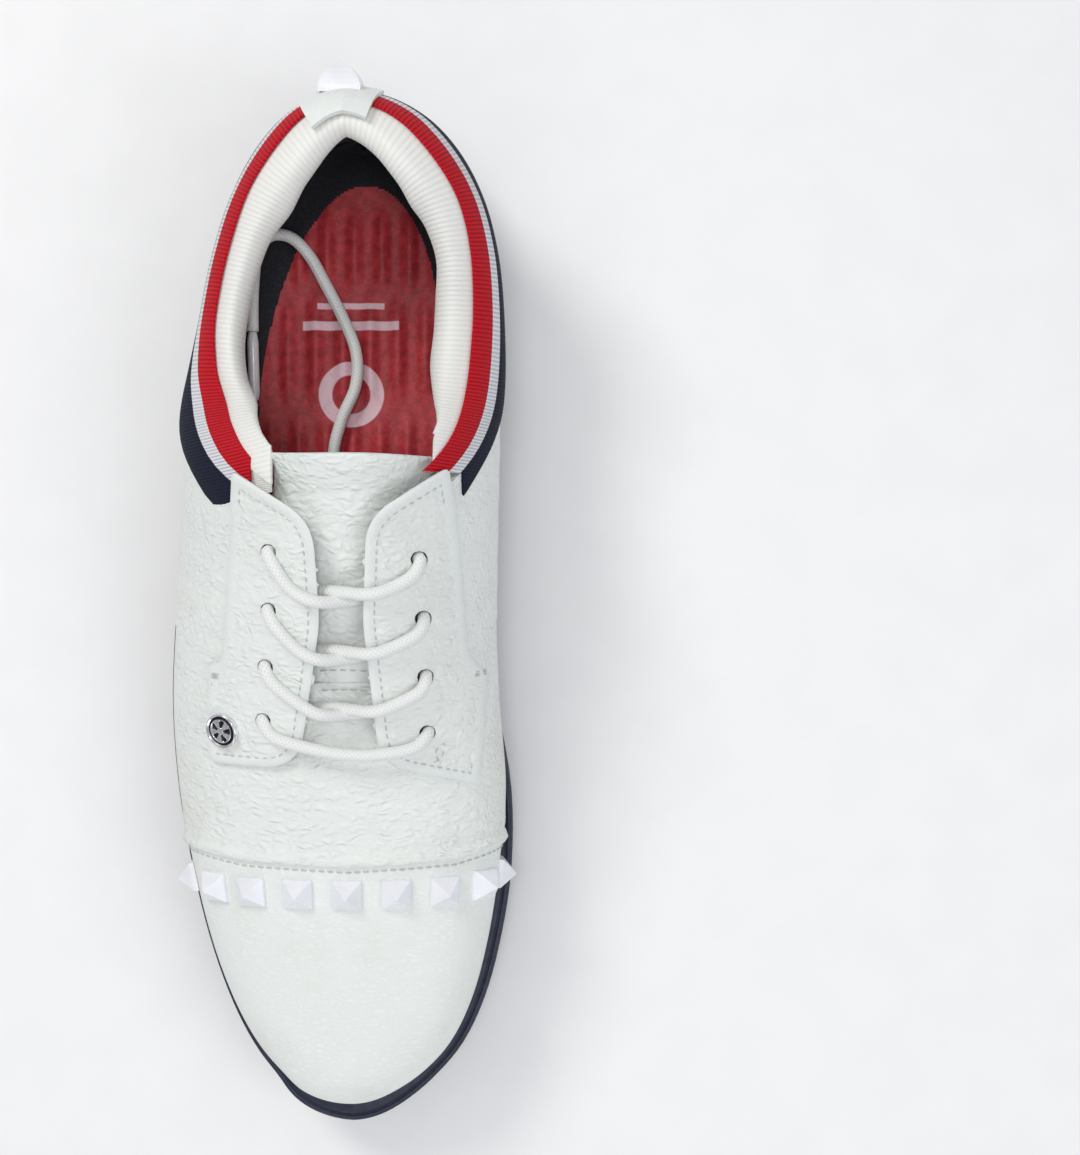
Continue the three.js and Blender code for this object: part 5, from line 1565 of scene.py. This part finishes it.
# %% Footbed piece
footbed = grid_piece("footbed_cloth", rows, red_cloth, uv=rows[..., :2] * MM)
footbed.data.materials.append(INSIDE)
centres = np.array([tuple(p.center) for p in footbed.data.polygons]) / MM - SHIFT
a = station(centres[:, 1])
middle_x = (outline(a, -1, 0 * a)[:, 0] + outline(a, 1, 0 * a)[:, 0]) / 2
half_x = (outline(a, 1, 0 * a)[:, 0] - outline(a, -1, 0 * a)[:, 0]) / 2
share = np.abs(centres[:, 0] - middle_x + 0.5) / np.maximum(half_x, 1)
red_zone = (share / 0.60) ** 2.6 + (np.clip(centres[:, 1] - 66, 0, None) / 50) ** 2.4 < 1
for polygon, is_red in zip(footbed.data.polygons, red_zone):
    polygon.material_index = 0 if is_red else 1
fix_normals(footbed)
face_out(footbed, (0, 0, -1.0))
thicken(footbed, 3.4, 0.2)
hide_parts("footbed_cover", "footbed_foam")
print("footbed length, mm:", round(float(np.ptp(rows[..., 1])), 1))

# %% [markdown]
# ## Stitching
# Thread shows as short raised stitches. A drawn dashed line would look flat in close view, and one
# object for each stitch would be slow. Each stitch is a small spindle lying on the leather, and a
# whole seam is one mesh, so the rows stay light.

# %% Stitch maker
SINK = 0.05  # how deep a stitch lies in the leather


def stitches(name, points, normals, length=1.75, gap=0.55, radius=0.2, body="shoe"):
    """Spindles along a line of pattern points; normals say which way is out."""
    points = np.asarray(points, float)
    step = np.linalg.norm(np.diff(points, axis=0), axis=1)
    run = np.concatenate([[0], np.cumsum(step)])
    count = max(1, int((run[-1] + gap) // (length + gap)))
    pitch = (run[-1] + gap) / count
    verts, faces = [], []
    for i in range(count):
        start = i * pitch
        marks = np.linspace(start, min(start + pitch - gap, run[-1]), 5)
        p = np.stack([np.interp(marks, run, points[:, k]) for k in range(3)], 1)
        n = np.stack([np.interp(marks, run, normals[:, k]) for k in range(3)], 1)
        n /= np.linalg.norm(n, axis=1, keepdims=True)
        way = p[-1] - p[0]
        way /= max(np.linalg.norm(way), 1e-9)
        base = len(verts)
        for j, size in enumerate((0.45, 0.9, 1.0, 0.9, 0.45)):
            side = np.cross(way, n[j])
            lift = radius * (0.5 - 1.1 * abs(j - 2) ** 2 / 4) - SINK
            for k in range(6):
                turn = k * math.pi / 3
                rim_way = side * math.cos(turn) * 1.15 + n[j] * math.sin(turn)
                verts.append(p[j] + n[j] * lift + radius * size * rim_way)
        for j in range(4):
            here, ahead = base + 6 * j, base + 6 * (j + 1)
            faces += [(here + k, here + (k + 1) % 6, ahead + (k + 1) % 6, ahead + k) for k in range(6)]
        faces += [tuple(base + k for k in range(5, -1, -1)), tuple(base + 24 + k for k in range(6))]
    obj = piece(name, verts, faces, THREAD, body=body)
    return fix_normals(obj)


def seam_on_plan(name, line, offset, **more):
    line = resample(curve_through(line, 300), 0.5)
    a = station(line[:, 1])
    b = across_at(a, line[:, 0])
    heights = offset(line) if callable(offset) else np.full(len(a), offset)
    obj = stitches(name, skin(a, b, heights), outward(a, b), **more)
    return obj


def inner_line(edge, distance):
    """The outline moved in by a distance."""
    before, after = np.roll(edge, 1, 0), np.roll(edge, -1, 0)
    run = after - before
    run /= np.maximum(np.linalg.norm(run, axis=1, keepdims=True), 1e-9)
    normal = np.stack([-run[:, 1], run[:, 0]], 1)
    trial = edge + normal * distance
    if inside(trial, edge).mean() < 0.5:
        trial = edge - normal * distance
    return trial


# %% [markdown]
# Each facing has one row of stitches beside its edge, except where it runs along the quarter. The
# cap, the tongue and the corners have their own short rows, and small bar tacks hold the strained
# spots. Every row follows an edge that is already defined, so seam and leather stay together.

# %% Seams of the upper
def facing_lift(p):
    return 1.5 + 0.5 * smooth((p[:, 1] - 22) / 8)


for name, edge, front in (("facing_outer_stitching", edge_outer, -33.5),
                          ("facing_inner_stitching", edge_inner, -37)):
    line = inner_line(edge, 2.5)
    fits = distance_to(line, edge) > 2.35
    plain_side = (np.abs(line[:, 0] - 2) > 20.5) & (line[:, 1] > front) & (line[:, 1] < 29)
    start = int(np.argmax(plain_side & ~np.roll(plain_side, 1)))
    line, fits, plain_side = (np.roll(q, -start, 0) for q in (line, fits, plain_side))
    fits &= ~plain_side
    line = line[fits]
    a = station(line[:, 1])
    b = across_at(a, line[:, 0])
    stitches(name, skin(a, b, facing_lift(line)), outward(a, b))

b = np.linspace(-0.93, 0.93, 500)
a = seam_station(b, -1.4)
stitches("toe_cap_stitching", skin(a, b, np.full(500, 0.12)), outward(a, b))
seam_on_plan("vamp_tongue_stitching", [(-5.4, -19.2), (-2, -19), (2, -19), (6.6, -19.2)], -2.95)
tongue_line = resample(curve_through([(-6, -14.6), (-2, -14.4), (2, -14.4), (7, -14.6)], 60), 0.5)
a = station(tongue_line[:, 1])
b = across_at(a, tongue_line[:, 0])
stitches("tongue_stitching", skin(a, b, np.full(len(a), -3.95)), outward(a, b), body="tongue")
for name, side, edge_x in (("bar_tack_outer", -1, -32.4), ("bar_tack_inner", 1, 33.4)):
    for k in range(3):
        line = [(edge_x - side * 1.6, -13.6 - 0.55 * k), (edge_x + side * 1.4, -13.3 - 0.55 * k)]
        seam_on_plan(f"{name}_{k + 1}", line, 1.6, length=2.8, gap=0.1, radius=0.22)
corner = [(23.5, -36.5), (22.6, -33.8), (24.6, -31.6), (24.0, -35.2), (22.0, -36.6)]
seam_on_plan("wedge_stitching", corner, 1.55)
seam_on_plan("strap_stitching", [(-32.6, -15), (-33.2, -19), (-33.4, -23)], 1.55)

# %% [markdown]
# ## Last pieces and the floor
# The hidden linings and stiffeners keep their CAD form, because nobody sees them, and only need a
# finish of their own. A wide sheet of paper takes the shadow. It is stage, not part of the shoe.

# %% Finish
HIDDEN_FINISH = {"toe_puff": STIFF, "heel_counter": STIFF, "insole_board": FIBRE, "shank": STEEL,
                 "rivet_post": DARK_METAL}
for name in ("vamp_lining", "quarter_lining_lateral", "quarter_lining_medial", "toe_puff", "heel_counter",
             "insole_board", "shank", "rivet_post"):
    own = HIDDEN_FINISH.get(name, INSIDE)
    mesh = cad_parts[name].data
    mesh.materials.clear()
    mesh.materials.append(own)

FLOOR_HALF = 3  # metres
floor_mesh = bpy.data.meshes.new("floor")
corners = [(x * FLOOR_HALF, y * FLOOR_HALF, 0) for x, y in ((-1, -1), (1, -1), (1, 1), (-1, 1))]
floor_mesh.from_pydata(corners, [], [(0, 1, 2, 3)])
floor = bpy.data.objects.new("floor", floor_mesh)
scene.collection.objects.link(floor)
paper = plain("floor_paper", (0.88, 0.88, 0.88), 0.8, 60.0, 0.00001, 0.985)
floor_mesh.materials.append(paper)
floor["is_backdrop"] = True

[[list(corner) for corner in box] for box in (cad_box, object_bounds())]
